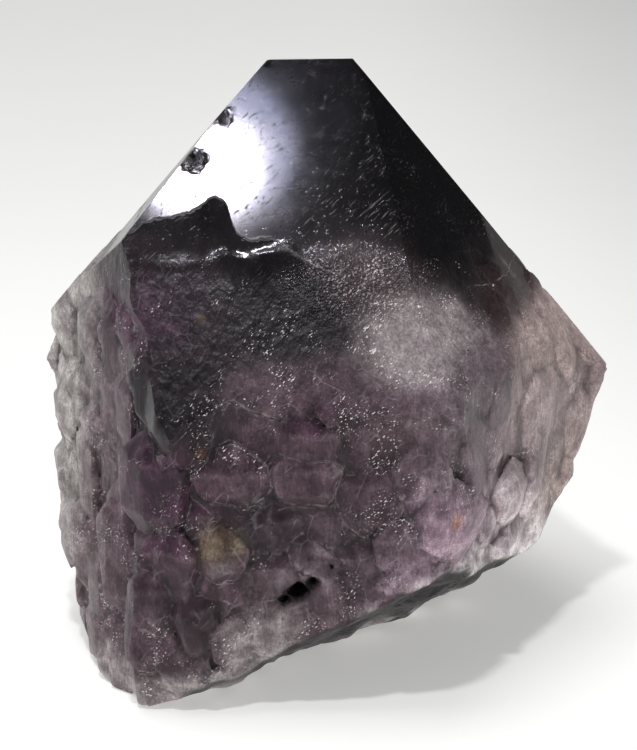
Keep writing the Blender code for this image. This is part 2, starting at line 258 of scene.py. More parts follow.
    def placed(
        self, azimuth: float, height: float, sunk: float, proud: float, lean: float, turn: float
    ) -> Matrix:
        """Where a side crystal stands: sunk until only its proud part shows."""
        point, facing = self.core.surface_at(azimuth, height)
        stand = self.standing(point - facing * (sunk - proud), facing, lean)
        return stand @ Matrix.Rotation(math.radians(turn), 4, "Y")

    def rows(
        self, picker: random.Random, heights: tuple[float, ...], spacing: float, lift_range: float
    ) -> Iterator[tuple[float, float]]:
        """Staggered places round the sides: azimuth and height of each."""
        for row, height in enumerate(heights):
            around = sum(
                self.core.surface_at(azimuth, height)[0].xy.length for azimuth in range(0, 360, 30)
            )
            count = round(2 * math.pi * around / 12 / spacing)
            for index in range(count):
                shift = picker.uniform(-self.jitter, self.jitter)
                share = (index + 0.5 * (row % 2) + shift) / count
                lift = picker.uniform(-self.jitter, self.jitter) * lift_range
                yield 360.0 * share - 180.0, height + lift

    def near_large(self, point: Vector, share: float = 0.33) -> bool:
        """Whether a place is within that share of one of the crystals that stand out."""
        for azimuth, height, width, length, *_ in self.large.values():
            gap = point - self.core.surface_at(azimuth, height)[0]
            across = math.hypot(gap.x, gap.y) / (share * width)
            along = gap.z / (share * length)
            if math.hypot(across, along) < 1.0:
                return True
        return False

    def seedlings(self) -> Iterator[Seedling]:
        """The crystals of the solid, picked in its own order so that the two agree."""
        picker = random.Random(self.seed)
        for azimuth, height, width, length, proud, lean, turn in self.large.values():
            place = self.placed(azimuth, height, self.flatness * width / 2, proud, lean, 0.0)
            skew = (picker.uniform(-0.25, 0.25), picker.uniform(-0.1, 0.3))
            spin = Matrix.Rotation(math.radians(turn), 4, "Z")
            yield Seedling(place @ spin, width, length, self.flatness, skew)
        for azimuth, height, width, length, proud in self.ledges.values():
            sunk = self.ledge_flatness * width / 2
            place = self.placed(azimuth, height, sunk, proud, 0.0, picker.uniform(-12, 12))
            skew = (picker.uniform(-0.3, 0.3), 0.0)
            yield Seedling(place, width, length, self.ledge_flatness, skew)
        heights = (0.003, 0.011, 0.019, 0.027, 0.035, 0.043, 0.051, 0.059, 0.067)
        for azimuth, height in self.rows(picker, heights, 0.0112, 0.010):
            width = picker.uniform(0.0115, 0.0205)
            length = width * picker.uniform(1.05, 1.65)
            proud = picker.uniform(0.0002, 0.0026)
            lean = picker.uniform(-3.0, 7.0)
            turn = picker.uniform(-15.0, 15.0)
            spin = picker.choice((0.0, 30.0)) + picker.uniform(-8.0, 8.0)
            skew = (picker.uniform(-0.35, 0.35), picker.uniform(-0.2, 0.3))
            if self.near_large(self.core.surface_at(azimuth, height)[0]):
                continue
            place = self.placed(azimuth, height, self.flatness * width / 2, proud, lean, turn)
            turned = Matrix.Rotation(math.radians(spin), 4, "Z")
            yield Seedling(place @ turned, width, length, self.flatness, skew)

    def fine_seedlings(self) -> Iterator[Seedling]:
        """A finer generation: small low crystals that break up the broad faces of the sides."""
        picker = random.Random(self.seed + 1)
        heights = tuple(0.008 + 0.0060 * row for row in range(12))
        for azimuth, height in self.rows(picker, heights, 0.0098, 0.006):
            width = picker.uniform(0.0055, 0.0125)
            length = width * picker.uniform(1.1, 2.0)
            proud = picker.uniform(0.0001, 0.0016)
            lean = picker.uniform(-4.0, 8.0)
            turn = picker.uniform(-20.0, 20.0)
            skew = (picker.uniform(-0.35, 0.35), picker.uniform(-0.2, 0.3))
            if self.near_large(self.core.surface_at(azimuth, height)[0], 0.46):
                continue
            sunk = self.fine_flatness * width / 2
            place = self.placed(azimuth, height, sunk, proud, lean, turn)
            yield Seedling(place, width, length, self.fine_flatness, skew)
        for azimuth, height, width, length, proud in self.lumps:
            lean, turn = picker.uniform(-4.0, 4.0), picker.uniform(-10.0, 10.0)
            skew = (picker.uniform(-0.25, 0.25), picker.uniform(-0.1, 0.3))
            place = self.placed(azimuth, height, self.flatness * width / 2, proud, lean, turn)
            yield Seedling(place, width, length, self.flatness, skew)

    def planes(self, crystals: list[Seedling]) -> tuple[np.ndarray, np.ndarray, np.ndarray]:
        """The 18 flat faces of every crystal: six sides, six faces of the point, six of the foot.

        Each ring corner is (half sin a, half cos a, +-body / 2) for a in steps of 60 degrees, the
        point and foot are raised from the ring's middle, and the frame turns them into place.

        Args:
            crystals: the crystals to convert.

        Returns:
            Face rows (n, 18, 4), and the lowest and highest corner of each crystal (n, 3).
        """
        half = np.array([one.width / 2 for one in crystals])
        length = np.array([one.length for one in crystals])
        skew = np.array([one.skew for one in crystals])
        body = np.maximum(length - half * (self.tip_rise + self.foot_drop), 0.15 * length)
        angle = np.arange(6) * math.pi / 3
        ring = np.stack([np.sin(angle), np.cos(angle)], axis=1)
        corner = np.zeros((len(crystals), 14, 3))
        corner[:, 0:6, :2] = ring * (half * self.foot_width)[:, None, None]
        corner[:, 6:12, :2] = ring * half[:, None, None]
        corner[:, 0:6, 2] = -body[:, None] / 2
        corner[:, 6:12, 2] = body[:, None] / 2
        corner[:, 12, :2] = skew * half[:, None]
        corner[:, 12, 2] = body / 2 + self.tip_rise * half
        corner[:, 13, 0] = -skew[:, 0] * half
        corner[:, 13, 2] = -body / 2 - self.foot_drop * half
        corner[..., 1] *= np.array([one.flatness for one in crystals])[:, None]
        frames = np.array([[list(row) for row in one.place] for one in crystals])
        world = np.einsum("nij,nkj->nki", frames[:, :3, :3], corner) + frames[:, None, :3, 3]
        at = np.arange(6)
        after = (at + 1) % 6
        faces = np.concatenate(
            [
                np.stack([at, after, at + 6], axis=1),
                np.stack([at + 6, after + 6, np.full(6, 12)], axis=1),
                np.stack([at, after, np.full(6, 13)], axis=1),
            ]
        )
        first, second, third = (world[:, faces[:, k]] for k in range(3))
        normal = np.cross(second - first, third - first)
        normal /= np.linalg.norm(normal, axis=2, keepdims=True)
        middle = world.mean(axis=1)[:, None]
        normal *= np.sign(((first - middle) * normal).sum(axis=2))[..., None]
        offset = (first * normal).sum(axis=2)
        return np.concatenate([normal, offset[..., None]], axis=2), world.min(1), world.max(1)


def value_noise(points: np.ndarray, size: float, seed: int) -> np.ndarray:
    """Smooth noise from -1 to 1: hashed values at lattice corners, eased between them.

    Args:
        points: places, (n, 3).
        size: distance between lattice corners.
        seed: picks another pattern.

    Returns:
        One number a point.
    """
    scaled = points / size + seed * 7.31
    base = np.floor(scaled).astype(np.int64)
    part = scaled - base
    ease = part * part * (3 - 2 * part)
    total = np.zeros(len(points))
    for corner in range(8):
        step = np.array([corner >> axis & 1 for axis in range(3)])
        cell = base + step
        mixed = cell[:, 0] * 73856093 ^ cell[:, 1] * 19349663 ^ cell[:, 2] * 83492791
        mixed = (mixed ^ mixed >> 13) * 1274126177 & 0x7FFFFFFF
        mixed = (mixed ^ mixed >> 16) * 668265263 & 0x7FFFFFFF
        weight = np.prod(np.where(step, ease, 1 - ease), axis=1)
        total += (mixed & 0xFFFF) / 65535 * weight
    return total * 2 - 1


def layered_noise(points: np.ndarray, size: float, seed: int, layers: int = 3) -> np.ndarray:
    """A sum of value noises, each half the size and half the height of the one before."""
    total = np.zeros(len(points))
    for layer in range(layers):
        total += value_noise(points, size / 2**layer, seed + 31 * layer) / 2**layer
    return total / (2 - 2 ** (1 - layers))


def smooth_step(low: float, high: float, value: np.ndarray) -> np.ndarray:
    """0 below low, 1 above high, and eased between them."""
    share = np.clip((value - low) / (high - low), 0, 1)
    return share * share * (3 - 2 * share)


def worn_share(points: np.ndarray) -> np.ndarray:
    """How far the side crystals have grown together into one smooth surface, from 0 to 1.

    They stand apart on the left and at the foot, less so across the front and at the back, and
    hardly at all on the right shoulder.

    Args:
        points: places, (n, 3).

    Returns:
        One share a place.
    """
    across, deep, height = points.T / MM
    lowest = 31 + 16 * np.exp(-(((across - 26) / 18) ** 2))
    front = smooth_step(-18, 36, across) * smooth_step(0, 9, height - lowest)
    behind = 0.75 * smooth_step(4, 14, deep)
    return 0.9 * np.maximum(front, behind)


@dataclass(frozen=True)
class Foot:
    """The rough break underneath: level and pitted where it rests, climbing to the right front."""

    azimuth: float = 40.5
    start: float = 0.0100
    slope: float = 0.77
    right_start: tuple[float, float] = (0.0455, 0.0255)
    right_slope: float = 1.45
    roughness: float = 0.0034
    lump: float = 0.011
    hollow_depth: float = 0.0060
    hollow_size: float = 0.017
    hollow_share: float = 0.08
    hollow_clear: tuple[float, float] = (0.010, 0.022)
    station: float = 0.003
    reach: float = 0.069

    def coarse(self, x: float, y: float) -> float:
        """Height of the solid's break at one place."""
        toward = outward(self.azimuth, 0.0)
        past = toward[0] * x + toward[1] * y - self.start
        climb = max(
            self.slope * past, self.right_start[1] + self.right_slope * (x - self.right_start[0])
        )
        lumps = noise.noise(Vector((x, y, 0.0)) / self.lump) * self.roughness
        slope = climb + lumps * min(1.0, max(0.0, climb / self.roughness))
        inner, outer = self.hollow_clear
        clear = min(1.0, max(0.0, (math.hypot(x, y) - inner) / (outer - inner)))
        hollow = noise.noise(Vector((x, y, self.hollow_size)) / self.hollow_size)
        return max(0.0, slope, (hollow - self.hollow_share) * self.hollow_depth * clear)

    def at(self, places: np.ndarray) -> np.ndarray:
        """Height of the break at any places: the solid's, between stations 3 mm apart, plus hackle.

        Args:
            places: X and Y of each, (n, 2).

        Returns:
            One height a place.
        """
        knots = np.arange(-self.reach, self.reach + 0.0001, self.station)
        table = np.array([[self.coarse(a, b) for b in knots] for a in knots])
        scaled = np.clip((places - knots[0]) / self.station, 0, len(knots) - 1.001)
        base = scaled.astype(int)
        across, along = (scaled - base).T
        i, j = base.T
        smooth = (table[i, j] * (1 - across) + table[i + 1, j] * across) * (1 - along)
        smooth += (table[i, j + 1] * (1 - across) + table[i + 1, j + 1] * across) * along
        flat = np.column_stack([places, np.zeros(len(places))])
        hackle = np.abs(layered_noise(flat, 0.0045, 5)) * 0.0016
        pits = np.maximum(0, layered_noise(flat, 0.0060, 9) - 0.12) * 0.0022
        climbing = smooth_step(0.0006, 0.0040, smooth)
        return smooth + climbing * hackle + (1 - climbing) * pits


@dataclass(frozen=True)
class Chip:
    """A chip with flat broken facets: an eight-sided bite, by its middle and reach along X, Y, Z."""

    centre: tuple[float, float, float]
    radii: tuple[float, float, float]


@dataclass
class Lattice:
    """Lines along X, Y and Z, with a place for every crossing of three of them."""

    x: np.ndarray
    y: np.ndarray
    z: np.ndarray

    def heights(self, height_at: Callable[[np.ndarray], np.ndarray]) -> np.ndarray:
        """The heights that a function gives for X and Y, at every crossing of an X and a Y line."""
        grid = np.stack(np.meshgrid(self.x, self.y, indexing="ij"), axis=-1).reshape(-1, 2)
        return height_at(grid).reshape(len(self.x), len(self.y))

    def places(self, corner: np.ndarray) -> np.ndarray:
        """Coordinates of lattice corners given by their three line numbers."""
        return np.stack(
            [self.x[corner[:, 0]], self.y[corner[:, 1]], self.z[corner[:, 2]]], axis=1
        )

    def outside(self, rows: np.ndarray, part: tuple[slice, slice, slice]) -> np.ndarray:
        """How far corners lie outside a convex body: the most that any of its faces is passed.

        Args:
            rows: the body's faces as normals and distances, (faces, 4).
            part: the lines to work on, along each axis.

        Returns:
            Distances, negative inside.
        """
        across = rows[:, 0, None] * self.x[part[0]]
        deep = rows[:, 1, None] * self.y[part[1]]
        high = rows[:, 2, None] * self.z[part[2]] - rows[:, 3, None]
        total = None
        for one, two, three in zip(across, deep, high):
            face = one[:, None, None] + two[None, :, None] + three[None, None, :]
            total = face if total is None else np.maximum(total, face)
        return total

    def block(self, low: np.ndarray, high: np.ndarray) -> tuple[slice, slice, slice]:
        """The lines within a box, and one more on each side."""
        found = []
        for lines, least, most in zip((self.x, self.y, self.z), low, high):
            start = max(0, int(np.searchsorted(lines, least)) - 2)
            found.append(slice(start, int(np.searchsorted(lines, most)) + 2))
        return found[0], found[1], found[2]


@dataclass
class Surface:
    """A closed skin of triangles, and what is known at each of its points."""

    points: np.ndarray
    triangles: np.ndarray
    owner: np.ndarray
    tip: np.ndarray
    broken: np.ndarray

    def links(self) -> tuple[np.ndarray, np.ndarray]:
        """Both ends of every edge, each edge once."""
        pairs = np.concatenate([self.triangles[:, [0, 1]], self.triangles[:, [1, 2]]])
        pairs = np.sort(np.concatenate([pairs, self.triangles[:, [2, 0]]]), axis=1)
        pairs = np.unique(pairs, axis=0)
        return pairs[:, 0], pairs[:, 1]

    def blurred(self, values: np.ndarray, rounds: int, share: float = 0.6) -> np.ndarray:
        """Values moved towards the mean of their neighbours, again and again.

        Args:
            values: one row a point.
            rounds: how often.
            share: how far towards the mean each time.

        Returns:
            The softened values.
        """
        start, end = self.links()
        count = len(self.points)
        degree = np.bincount(start, minlength=count) + np.bincount(end, minlength=count)
        result = np.array(values, dtype=float)
        columns = result.reshape(count, -1)
        for _ in range(rounds):
            for column in range(columns.shape[1]):
                old = columns[:, column]
                total = np.bincount(start, weights=old[end], minlength=count)
                total += np.bincount(end, weights=old[start], minlength=count)
                columns[:, column] = old + share * (total / degree - old)
        return columns.reshape(result.shape)

    def normals(self) -> np.ndarray:
        """Unit normals at the points, from the triangles round each, larger ones counting more."""
        corner = self.points[self.triangles]
        face = np.cross(corner[:, 1] - corner[:, 0], corner[:, 2] - corner[:, 0])
        total = np.zeros_like(self.points)
        for axis in range(3):
            for turn in range(3):
                total[:, axis] += np.bincount(
                    self.triangles[:, turn], weights=face[:, axis], minlength=len(self.points)
                )
        return total / np.maximum(np.linalg.norm(total, axis=1, keepdims=True), 1e-15)

    def seams(self, table: np.ndarray, least: np.ndarray, most: np.ndarray) -> np.ndarray:
        """How near each point is to an edge of its own crystal, and to the next crystal.

        A crystal's distance to a point is the most that any of its faces is passed. The edge is
        near where two faces of the nearest crystal are passed by nearly as much, and the groove
        where two crystals are nearly as near.

        Args:
            table: face rows of every crystal, the core's first two.
            least: lowest corners of the crystals after those two.
            most: their highest corners.

        Returns:
            Distance to the edge and to the groove in metres, and the nearest crystal, (points, 3).
        """
        count = len(self.points)
        best, second = np.full(count, 0.01), np.full(count, 0.01)
        edge, owner = np.full(count, 0.01), np.zeros(count)
        margin = 0.0015
        for index, rows in enumerate(table[1:], start=1):
            if index == 1:
                chosen = np.arange(count)
                rows = rows[:-1]
            else:
                low, high = least[index - 2] - margin, most[index - 2] + margin
                near = (self.points > low).all(axis=1) & (self.points < high).all(axis=1)
                chosen = np.flatnonzero(near)
            passed = self.points[chosen] @ rows[:, :3].T - rows[:, 3]
            ranked = np.partition(passed, -2, axis=1)
            top, next_top = ranked[:, -1], ranked[:, -2]
            nearer = top < best[chosen]
            second[chosen] = np.where(nearer, best[chosen], np.minimum(second[chosen], top))
            edge[chosen] = np.where(nearer, top - next_top, edge[chosen])
            owner[chosen] = np.where(nearer, index, owner[chosen])
            best[chosen] = np.where(nearer, top, best[chosen])
        return np.stack([edge, second - best, owner], axis=1)

    def largest(self) -> "Surface":
        """The largest connected body, without loose chips and closed pockets."""
        start, end = self.links()
        label = np.arange(len(self.points))
        while True:
            least = np.minimum(label[start], label[end])
            fresh = label.copy()
            np.minimum.at(fresh, start, least)
            np.minimum.at(fresh, end, least)
            fresh = fresh[fresh]
            if np.array_equal(fresh, label):
                break
            label = fresh
        main_label = np.bincount(label).argmax()
        kept = label == main_label
        number = np.cumsum(kept) - 1
        faces = number[self.triangles[kept[self.triangles[:, 0]]]]
        return Surface(
            self.points[kept], faces, self.owner[kept], self.tip[kept], self.broken[kept]
        )


def passage(rows: np.ndarray, start: np.ndarray, step: np.ndarray) -> tuple[np.ndarray, ...]:
    """Where a line passes through a convex body, as shares of a step.

    Each face is reached at (distance - normal . start) / (normal . step). The line is inside from
    the last face that it enters by to the first that it leaves by.

    Args:
        rows: the faces of the body for each line, (lines, faces, 4).
        start: where each line starts.
        step: how far each line goes.

    Returns:
        The share at which each line enters, the share at which it leaves, and the face it leaves by.
    """
    along = np.einsum("mkc,mc->mk", rows[..., :3], step)
    room = rows[..., 3] - np.einsum("mkc,mc->mk", rows[..., :3], start)
    level = 1e-9
    safe = np.where(np.abs(along) > level, along, 1.0)
    share = room / safe
    leave = np.where(along > level, share, np.inf)
    enter = np.where(along < -level, share, -np.inf)
    enter = np.where((np.abs(along) <= level) & (room < 0), np.inf, enter)
    return enter.max(axis=1), leave.min(axis=1), leave.argmin(axis=1)


def downward(slope: list[np.ndarray], at: tuple[np.ndarray, np.ndarray]) -> np.ndarray:
    """Unit normals of the underside of a surface given by its heights' slopes over X and Y."""
    normal = np.stack([slope[0][at], slope[1][at], -np.ones(len(at[0]))], axis=1)
    return normal / np.linalg.norm(normal, axis=1, keepdims=True)


def crossing(before: np.ndarray, after: np.ndarray) -> np.ndarray:
    """The share of a step at which a depth comes above zero, or infinity where it stays below."""
    return np.where(after > 0, before / np.minimum(before - after, -1e-12), np.inf)


@dataclass
class Skin:
    """The crystal's whole surface, found on a lattice and set on its true faces and edges."""

    core: Core
    growth: Overgrowth
    foot: Foot
    low: tuple[float, float, float]
    high: tuple[float, float, float]
    pitch: float = 0.00086
    tip_pitch: float = 0.00105
    back_pitch: float = 0.00108
    chips: tuple[Chip, ...] = (
        Chip((-0.0192, -0.0084, 0.1092), (0.0023, 0.0022, 0.0023)),
        Chip((-0.0238, -0.0140, 0.1022), (0.0026, 0.0022, 0.0019)),
        Chip((-0.0098, 0.0000, 0.1186), (0.0022, 0.0018, 0.0011)),
        Chip((0.0046, 0.0000, 0.1186), (0.0012, 0.0018, 0.0009)),
        Chip((-0.0038, -0.0446, 0.0262), (0.0036, 0.0066, 0.0030)),
        Chip((-0.0012, -0.0450, 0.0280), (0.0026, 0.0050, 0.0024)),
        Chip((-0.0064, -0.0452, 0.0246), (0.0030, 0.0050, 0.0018)),
        Chip((0.0022, -0.0456, 0.0312), (0.0018, 0.0036, 0.0036)),
        Chip((-0.0016, -0.0460, 0.0330), (0.0030, 0.0030, 0.0013)),
    )
    ledge_drop: float = 0.00012
    edge_reach: float = 0.00055
    blunt_cosine: float = 0.93
    damping: float = 0.03
    base_height: float = 0.0790

    def lattice(self) -> Lattice:
        """Lattice lines: finer on the seen side, and wider apart up the tip."""
        margin = 2.3 * self.pitch
        x = np.arange(self.low[0] - margin, self.high[0] + 2 * margin, self.pitch)
        front = np.arange(self.low[1] - margin, 0.006, self.pitch)
        behind = np.arange(front[-1] + self.back_pitch, self.high[1] + margin, self.back_pitch)
        body = np.arange(-1.6 * self.pitch, 0.093, self.pitch)
        above = np.arange(body[-1] + self.tip_pitch, self.high[2] + margin, self.tip_pitch)
        return Lattice(x, np.append(front, behind), np.append(body, above))

    def ledge_at(self, grid: np.ndarray) -> np.ndarray:
        """Where the smooth tip faces end: a ragged height.

        On the front it follows the broken line under the highlight, and elsewhere it wanders.

        Args:
            grid: X and Y of each place, (n, 2).

        Returns:
            One height a place.
        """
        where = np.array(
            [-45, -40, -36, -33, -30, -24, -22, -20, -18, -17.2, -15.8, -13, -9, -5, 0, 8, 15, 30]
        )
        height = np.array(
            [84, 86.5, 90, 92, 92.6, 93.6, 94.4, 96.2, 95.4, 94.8, 90.6, 89, 89.6, 87.4, 85, 82, 80, 78]
        )
        flat = np.column_stack([grid, np.zeros(len(grid))])
        front = np.interp(grid[:, 0], where * MM, height * MM)
        elsewhere = self.base_height + 0.0050 * layered_noise(flat, 0.0160, 3)
        ahead = smooth_step(0.004, -0.008, grid[:, 1]) * smooth_step(0.030, 0.018, grid[:, 0])
        ragged = 0.0005 * layered_noise(flat, 0.0040, 4)
        return front * ahead + elsewhere * (1 - ahead) + ragged

    def bodies(self) -> tuple[np.ndarray, np.ndarray, np.ndarray]:
        """Face rows of every convex body, the low core and the cap first, and their boxes."""
        crystals = list(self.growth.seedlings()) + list(self.growth.fine_seedlings())
        rows, least, most = self.growth.planes(crystals)
        spare = np.array([[0.0, 0.0, 0.0, 1.0]])
        cap = np.concatenate([self.core.rows(), spare])
        low_core = cap.copy()
        low_core[1 : len(self.core.tip), 3] -= self.ledge_drop
        return np.concatenate([low_core[None], cap[None], rows]), least, most

    def chipped(self, points: np.ndarray) -> tuple[np.ndarray, np.ndarray]:
        """How deep points lie inside a chip, and the direction towards its middle."""
        deepest = np.full(len(points), -1.0)
        toward = np.zeros((len(points), 3))
        for chip in self.chips:
            radii = np.array(chip.radii)
            gap = (points - np.array(chip.centre)) / radii
            depth = (1 - np.abs(gap).sum(axis=1)) * radii.min()
            nearer = depth > deepest
            deepest = np.where(nearer, depth, deepest)
            pull = -np.sign(gap) / radii
            pull /= np.maximum(np.linalg.norm(pull, axis=1, keepdims=True), 1e-12)
            toward[nearer] = pull[nearer]
        return deepest, toward

    def grow(self) -> Surface:
        """Finds the skin of all the crystals joined, ground, chipped and broken off.

        Every lattice corner is inside or outside. Each line between an inside and an outside corner
        leaves the crystal at one place, through a face whose normal is known. Every lattice cell
        with such a place gets one point, where the distances to its faces are least in squares,
        and every such line gets two triangles between the points of the four cells round it.

        Returns:
            The skin.
        """
        lattice = self.lattice()
        x, y, z = lattice.x, lattice.y, lattice.z
        everything = (slice(None), slice(None), slice(None))
        table, least, most = self.bodies()
        ledge = lattice.heights(self.ledge_at)
        broken = lattice.heights(self.foot.at)
        union = lattice.outside(table[0, :-1], everything)
        owner = np.zeros(union.shape, dtype=np.int32)
        cap = np.maximum(
            lattice.outside(table[1, :-1], everything), ledge[:, :, None] - z[None, None, :]
        )
        owner[cap < union] = 1
        np.minimum(union, cap, out=union)
        for index, (rows, low, high) in enumerate(zip(table[2:], least, most), start=2):
            part = lattice.block(low, high)
            distance = lattice.outside(rows, part)
            nearer = distance < union[part]
            union[part] = np.where(nearer, distance, union[part])
            owner[part] = np.where(nearer, index, owner[part])
        limit_rows = self.core.limit_rows()
        solid = union < 0
        solid &= lattice.outside(limit_rows, everything) < 0
        solid &= (broken[:, :, None] - z[None, None, :]) < 0
        for chip in self.chips:
            centre, radii = np.array(chip.centre), np.array(chip.radii)
            part = lattice.block(centre - radii, centre + radii)
            gap = (
                np.abs((x[part[0]] - centre[0]) / radii[0])[:, None, None]
                + np.abs((y[part[1]] - centre[1]) / radii[1])[None, :, None]
                + np.abs((z[part[2]] - centre[2]) / radii[2])[None, None, :]
            )
            solid[part] &= gap > 1
        return self.wrapped(lattice, solid, union < 0, owner, table, limit_rows, ledge, broken)

    def wrapped(
        self,
        lattice: Lattice,
        solid: np.ndarray,
        joined: np.ndarray,
        owner: np.ndarray,
        table: np.ndarray,
        limit_rows: np.ndarray,
        ledge: np.ndarray,
        broken: np.ndarray,
    ) -> Surface:
        """The skin round the inside corners.

        Args:
            lattice: the lattice.
            solid: whether each corner is inside the finished crystal.
            joined: whether each corner is inside the joined crystals, before any cut.
            owner: the crystal that each corner is deepest in or nearest to.
            table: face rows of every crystal.
            limit_rows: faces that no crystal may pass.
            ledge: where the smooth tip faces end, over X and Y.
            broken: height of the break, over X and Y.

        Returns:
            The skin.
        """
        size = np.array(solid.shape) - 1
        slope = np.gradient(broken, lattice.x, lattice.y)
        ledge_slope = np.gradient(ledge, lattice.x, lattice.y)
        found = []
        for axis in range(3):
            unit = np.eye(3, dtype=int)[axis]
            first = tuple(slice(None, -1) if k == axis else slice(None) for k in range(3))
            second = tuple(slice(1, None) if k == axis else slice(None) for k in range(3))
            corner = np.argwhere(solid[first] != solid[second])
            leaving = solid[tuple(corner.T)]
            inner = np.where(leaving[:, None], corner, corner + unit)
            outer = np.where(leaving[:, None], corner + unit, corner)
            start, stop = lattice.places(inner), lattice.places(outer)
            step = stop - start
            at, beyond = tuple(inner.T), tuple(outer.T)
            mine, next_one = owner[at], owner[beyond]
            _, share_a, face_a = passage(table[mine], start, step)
            enter_b, share_b, face_b = passage(table[next_one], start, step)
            flat_at = (inner[:, 0], inner[:, 1])
            flat_beyond = (outer[:, 0], outer[:, 1])
            under = ledge[flat_at] - start[:, 2]
            under_next = ledge[flat_beyond] - stop[:, 2]
            cross = under / np.where(under == under_next, 1.0, under - under_next)
            sinks = (under < 0) & (under_next > 0)
            edge_a = (mine == 1) & sinks & (cross < share_a)
            share_a = np.where(edge_a, cross, share_a)
            edge_b = (next_one == 1) & sinks & (cross < share_b)
            share_b = np.where(edge_b, cross, share_b)
            rises = (next_one == 1) & (under > 0)
            entered = np.where(under_next < 0, np.maximum(enter_b, cross), np.inf)
            enter_b = np.where(rises, entered, enter_b)
            later = (enter_b <= share_a + 1e-9) & (share_b > share_a) & (share_b >= enter_b)
            share = np.where(later, share_b, share_a)
            face = np.where(later, face_b, face_a)
            holder = np.where(later, next_one, mine)
            on_ledge = np.where(later, edge_b, edge_a)
            normal = table[holder, face, :3]
            normal = np.where(on_ledge[:, None], downward(ledge_slope, flat_at), normal)
            on_tip = (holder < 2) & ((face < len(self.core.tip)) | on_ledge)
            kind = np.where(on_tip, Face.TIP.value, Face.SIDE.value)
            share = np.where(joined[beyond], np.inf, share)
            limits = np.broadcast_to(limit_rows, (len(corner), *limit_rows.shape))
            _, share_l, face_l = passage(limits, start, step)
            capped = share_l < share
            share = np.where(capped, share_l, share)
            normal = np.where(capped[:, None], limit_rows[face_l, :3], normal)
            kind = np.where(capped & (face_l < len(self.core.tip)), Face.TIP.value, kind)
            depth, toward = self.chipped(stop)
            depth_in, _ = self.chipped(start)
            share_c = crossing(depth_in, depth)
            bitten = share_c < share
            share = np.where(bitten, share_c, share)
            normal = np.where(bitten[:, None], toward, normal)
            kind = np.where(bitten, Face.BREAK.value, kind)
            below = broken[flat_at] - start[:, 2]
            below_next = broken[flat_beyond] - stop[:, 2]
            share_f = crossing(below, below_next)
            under_foot = share_f < share
            share = np.clip(np.where(under_foot, share_f, share), 0, 1)
            normal = np.where(under_foot[:, None], downward(slope, flat_at), normal)
            kind = np.where(under_foot, Face.BREAK.value, kind)
            back = np.eye(3, dtype=int)[(axis + 1) % 3]
            side = np.eye(3, dtype=int)[(axis + 2) % 3]
            around = np.stack(
                [corner - back - side, corner - side, corner, corner - back], axis=1
            )
            number = (around[..., 0] * size[1] + around[..., 1]) * size[2] + around[..., 2]
            found.append((number, start + step * share[:, None], normal, holder, kind, ~leaving))
        return self.settled(lattice, *(np.concatenate(part) for part in zip(*found)))

    def settled(
        self,
        lattice: Lattice,
        around: np.ndarray,
        places: np.ndarray,
        normals: np.ndarray,
        owners: np.ndarray,
        kinds: np.ndarray,
        turned: np.ndarray,
    ) -> Surface:
        """Puts one point in each cell, at the least squares of the distances to its faces.

        With places p and normals n, the point m + (sum n n' + k I)^-1 sum n (n . (p - m)) is found
        for the mean m of the places, and kept inside its cell.

        Args:
            lattice: the lattice.
            around: the four cells round each crossed line.
            places: where each line leaves the crystal.
            normals: the normal there.
            owners: the crystal there.
            kinds: the kind of face there.
            turned: whether the inside lies above the line's lower end.

        Returns:
            The skin.
        """
        used, index = np.unique(around, return_inverse=True)
        index = index.reshape(around.shape)
        count = len(used)
        flat = index.reshape(-1)
        repeat = np.repeat(np.arange(len(places)), 4)

        def gathered(values: np.ndarray) -> np.ndarray:
            """The sum over each cell's lines."""
            return np.bincount(flat, weights=values[repeat], minlength=count)

        lines = gathered(np.ones(len(places)))
        mean = np.stack([gathered(places[:, axis]) / lines for axis in range(3)], axis=1)
        matrix = np.zeros((count, 3, 3))
        for row in range(3):
            for column in range(row, 3):
                matrix[:, row, column] = gathered(normals[:, row] * normals[:, column])
                matrix[:, column, row] = matrix[:, row, column]
        matrix += np.eye(3) * self.damping
        reach = (normals * places).sum(axis=1)
        total = np.stack([gathered(normals[:, axis] * reach) for axis in range(3)], axis=1)
        full = np.einsum("nij,nj->ni", matrix - np.eye(3) * self.damping, mean)
        point = mean + np.linalg.solve(matrix, (total - full)[..., None])[..., 0]
        size = np.array([len(lattice.x), len(lattice.y), len(lattice.z)]) - 1
        cell = np.stack(
            [used // (size[1] * size[2]), used // size[2] % size[1], used % size[2]], axis=1
        )
        low, high = lattice.places(cell), lattice.places(cell + 1)
        point = np.clip(point, low, high)
        share = [gathered((kinds == kind.value).astype(float)) / lines for kind in Face]
        point = self.creased(point, share[0] > 0.99)
        holder = np.zeros(count, dtype=int)
        holder[flat] = owners[repeat]
        corner = np.where(turned[:, None], index[:, ::-1], index)
        return Surface(point, self.split(point, corner), holder, share[0], share[2]).largest()

    def creased(self, point: np.ndarray, ground: np.ndarray) -> np.ndarray:
        """Points close to an edge of the tip, moved onto it, so that the edge runs straight.

        With the two nearest faces passed by r and s, and c the cosine between their normals, the
        move is -(r - c s) / (1 - c c) along one normal and -(s - c r) / (1 - c c) along the other.

        Args:
            point: one point a cell.
            ground: whether only tip faces pass through the cell.

        Returns:
            The points.
        """
        rows = self.core.rows()[: len(self.core.tip)]
        passed = point @ rows[:, :3].T - rows[:, 3]
        order = np.argsort(-passed, axis=1)[:, :2]
        first, second = np.take_along_axis(passed, order, axis=1).T
        one, two = rows[order[:, 0], :3], rows[order[:, 1], :3]
        cosine = (one * two).sum(axis=1)
        apart = np.maximum(1 - cosine**2, 0.01)
        move = -((first - cosine * second) / apart)[:, None] * one
        move -= ((second - cosine * first) / apart)[:, None] * two
        close = ground & (cosine < self.blunt_cosine)
        close &= np.linalg.norm(move, axis=1) < self.edge_reach
        return point + np.where(close[:, None], move, 0.0)

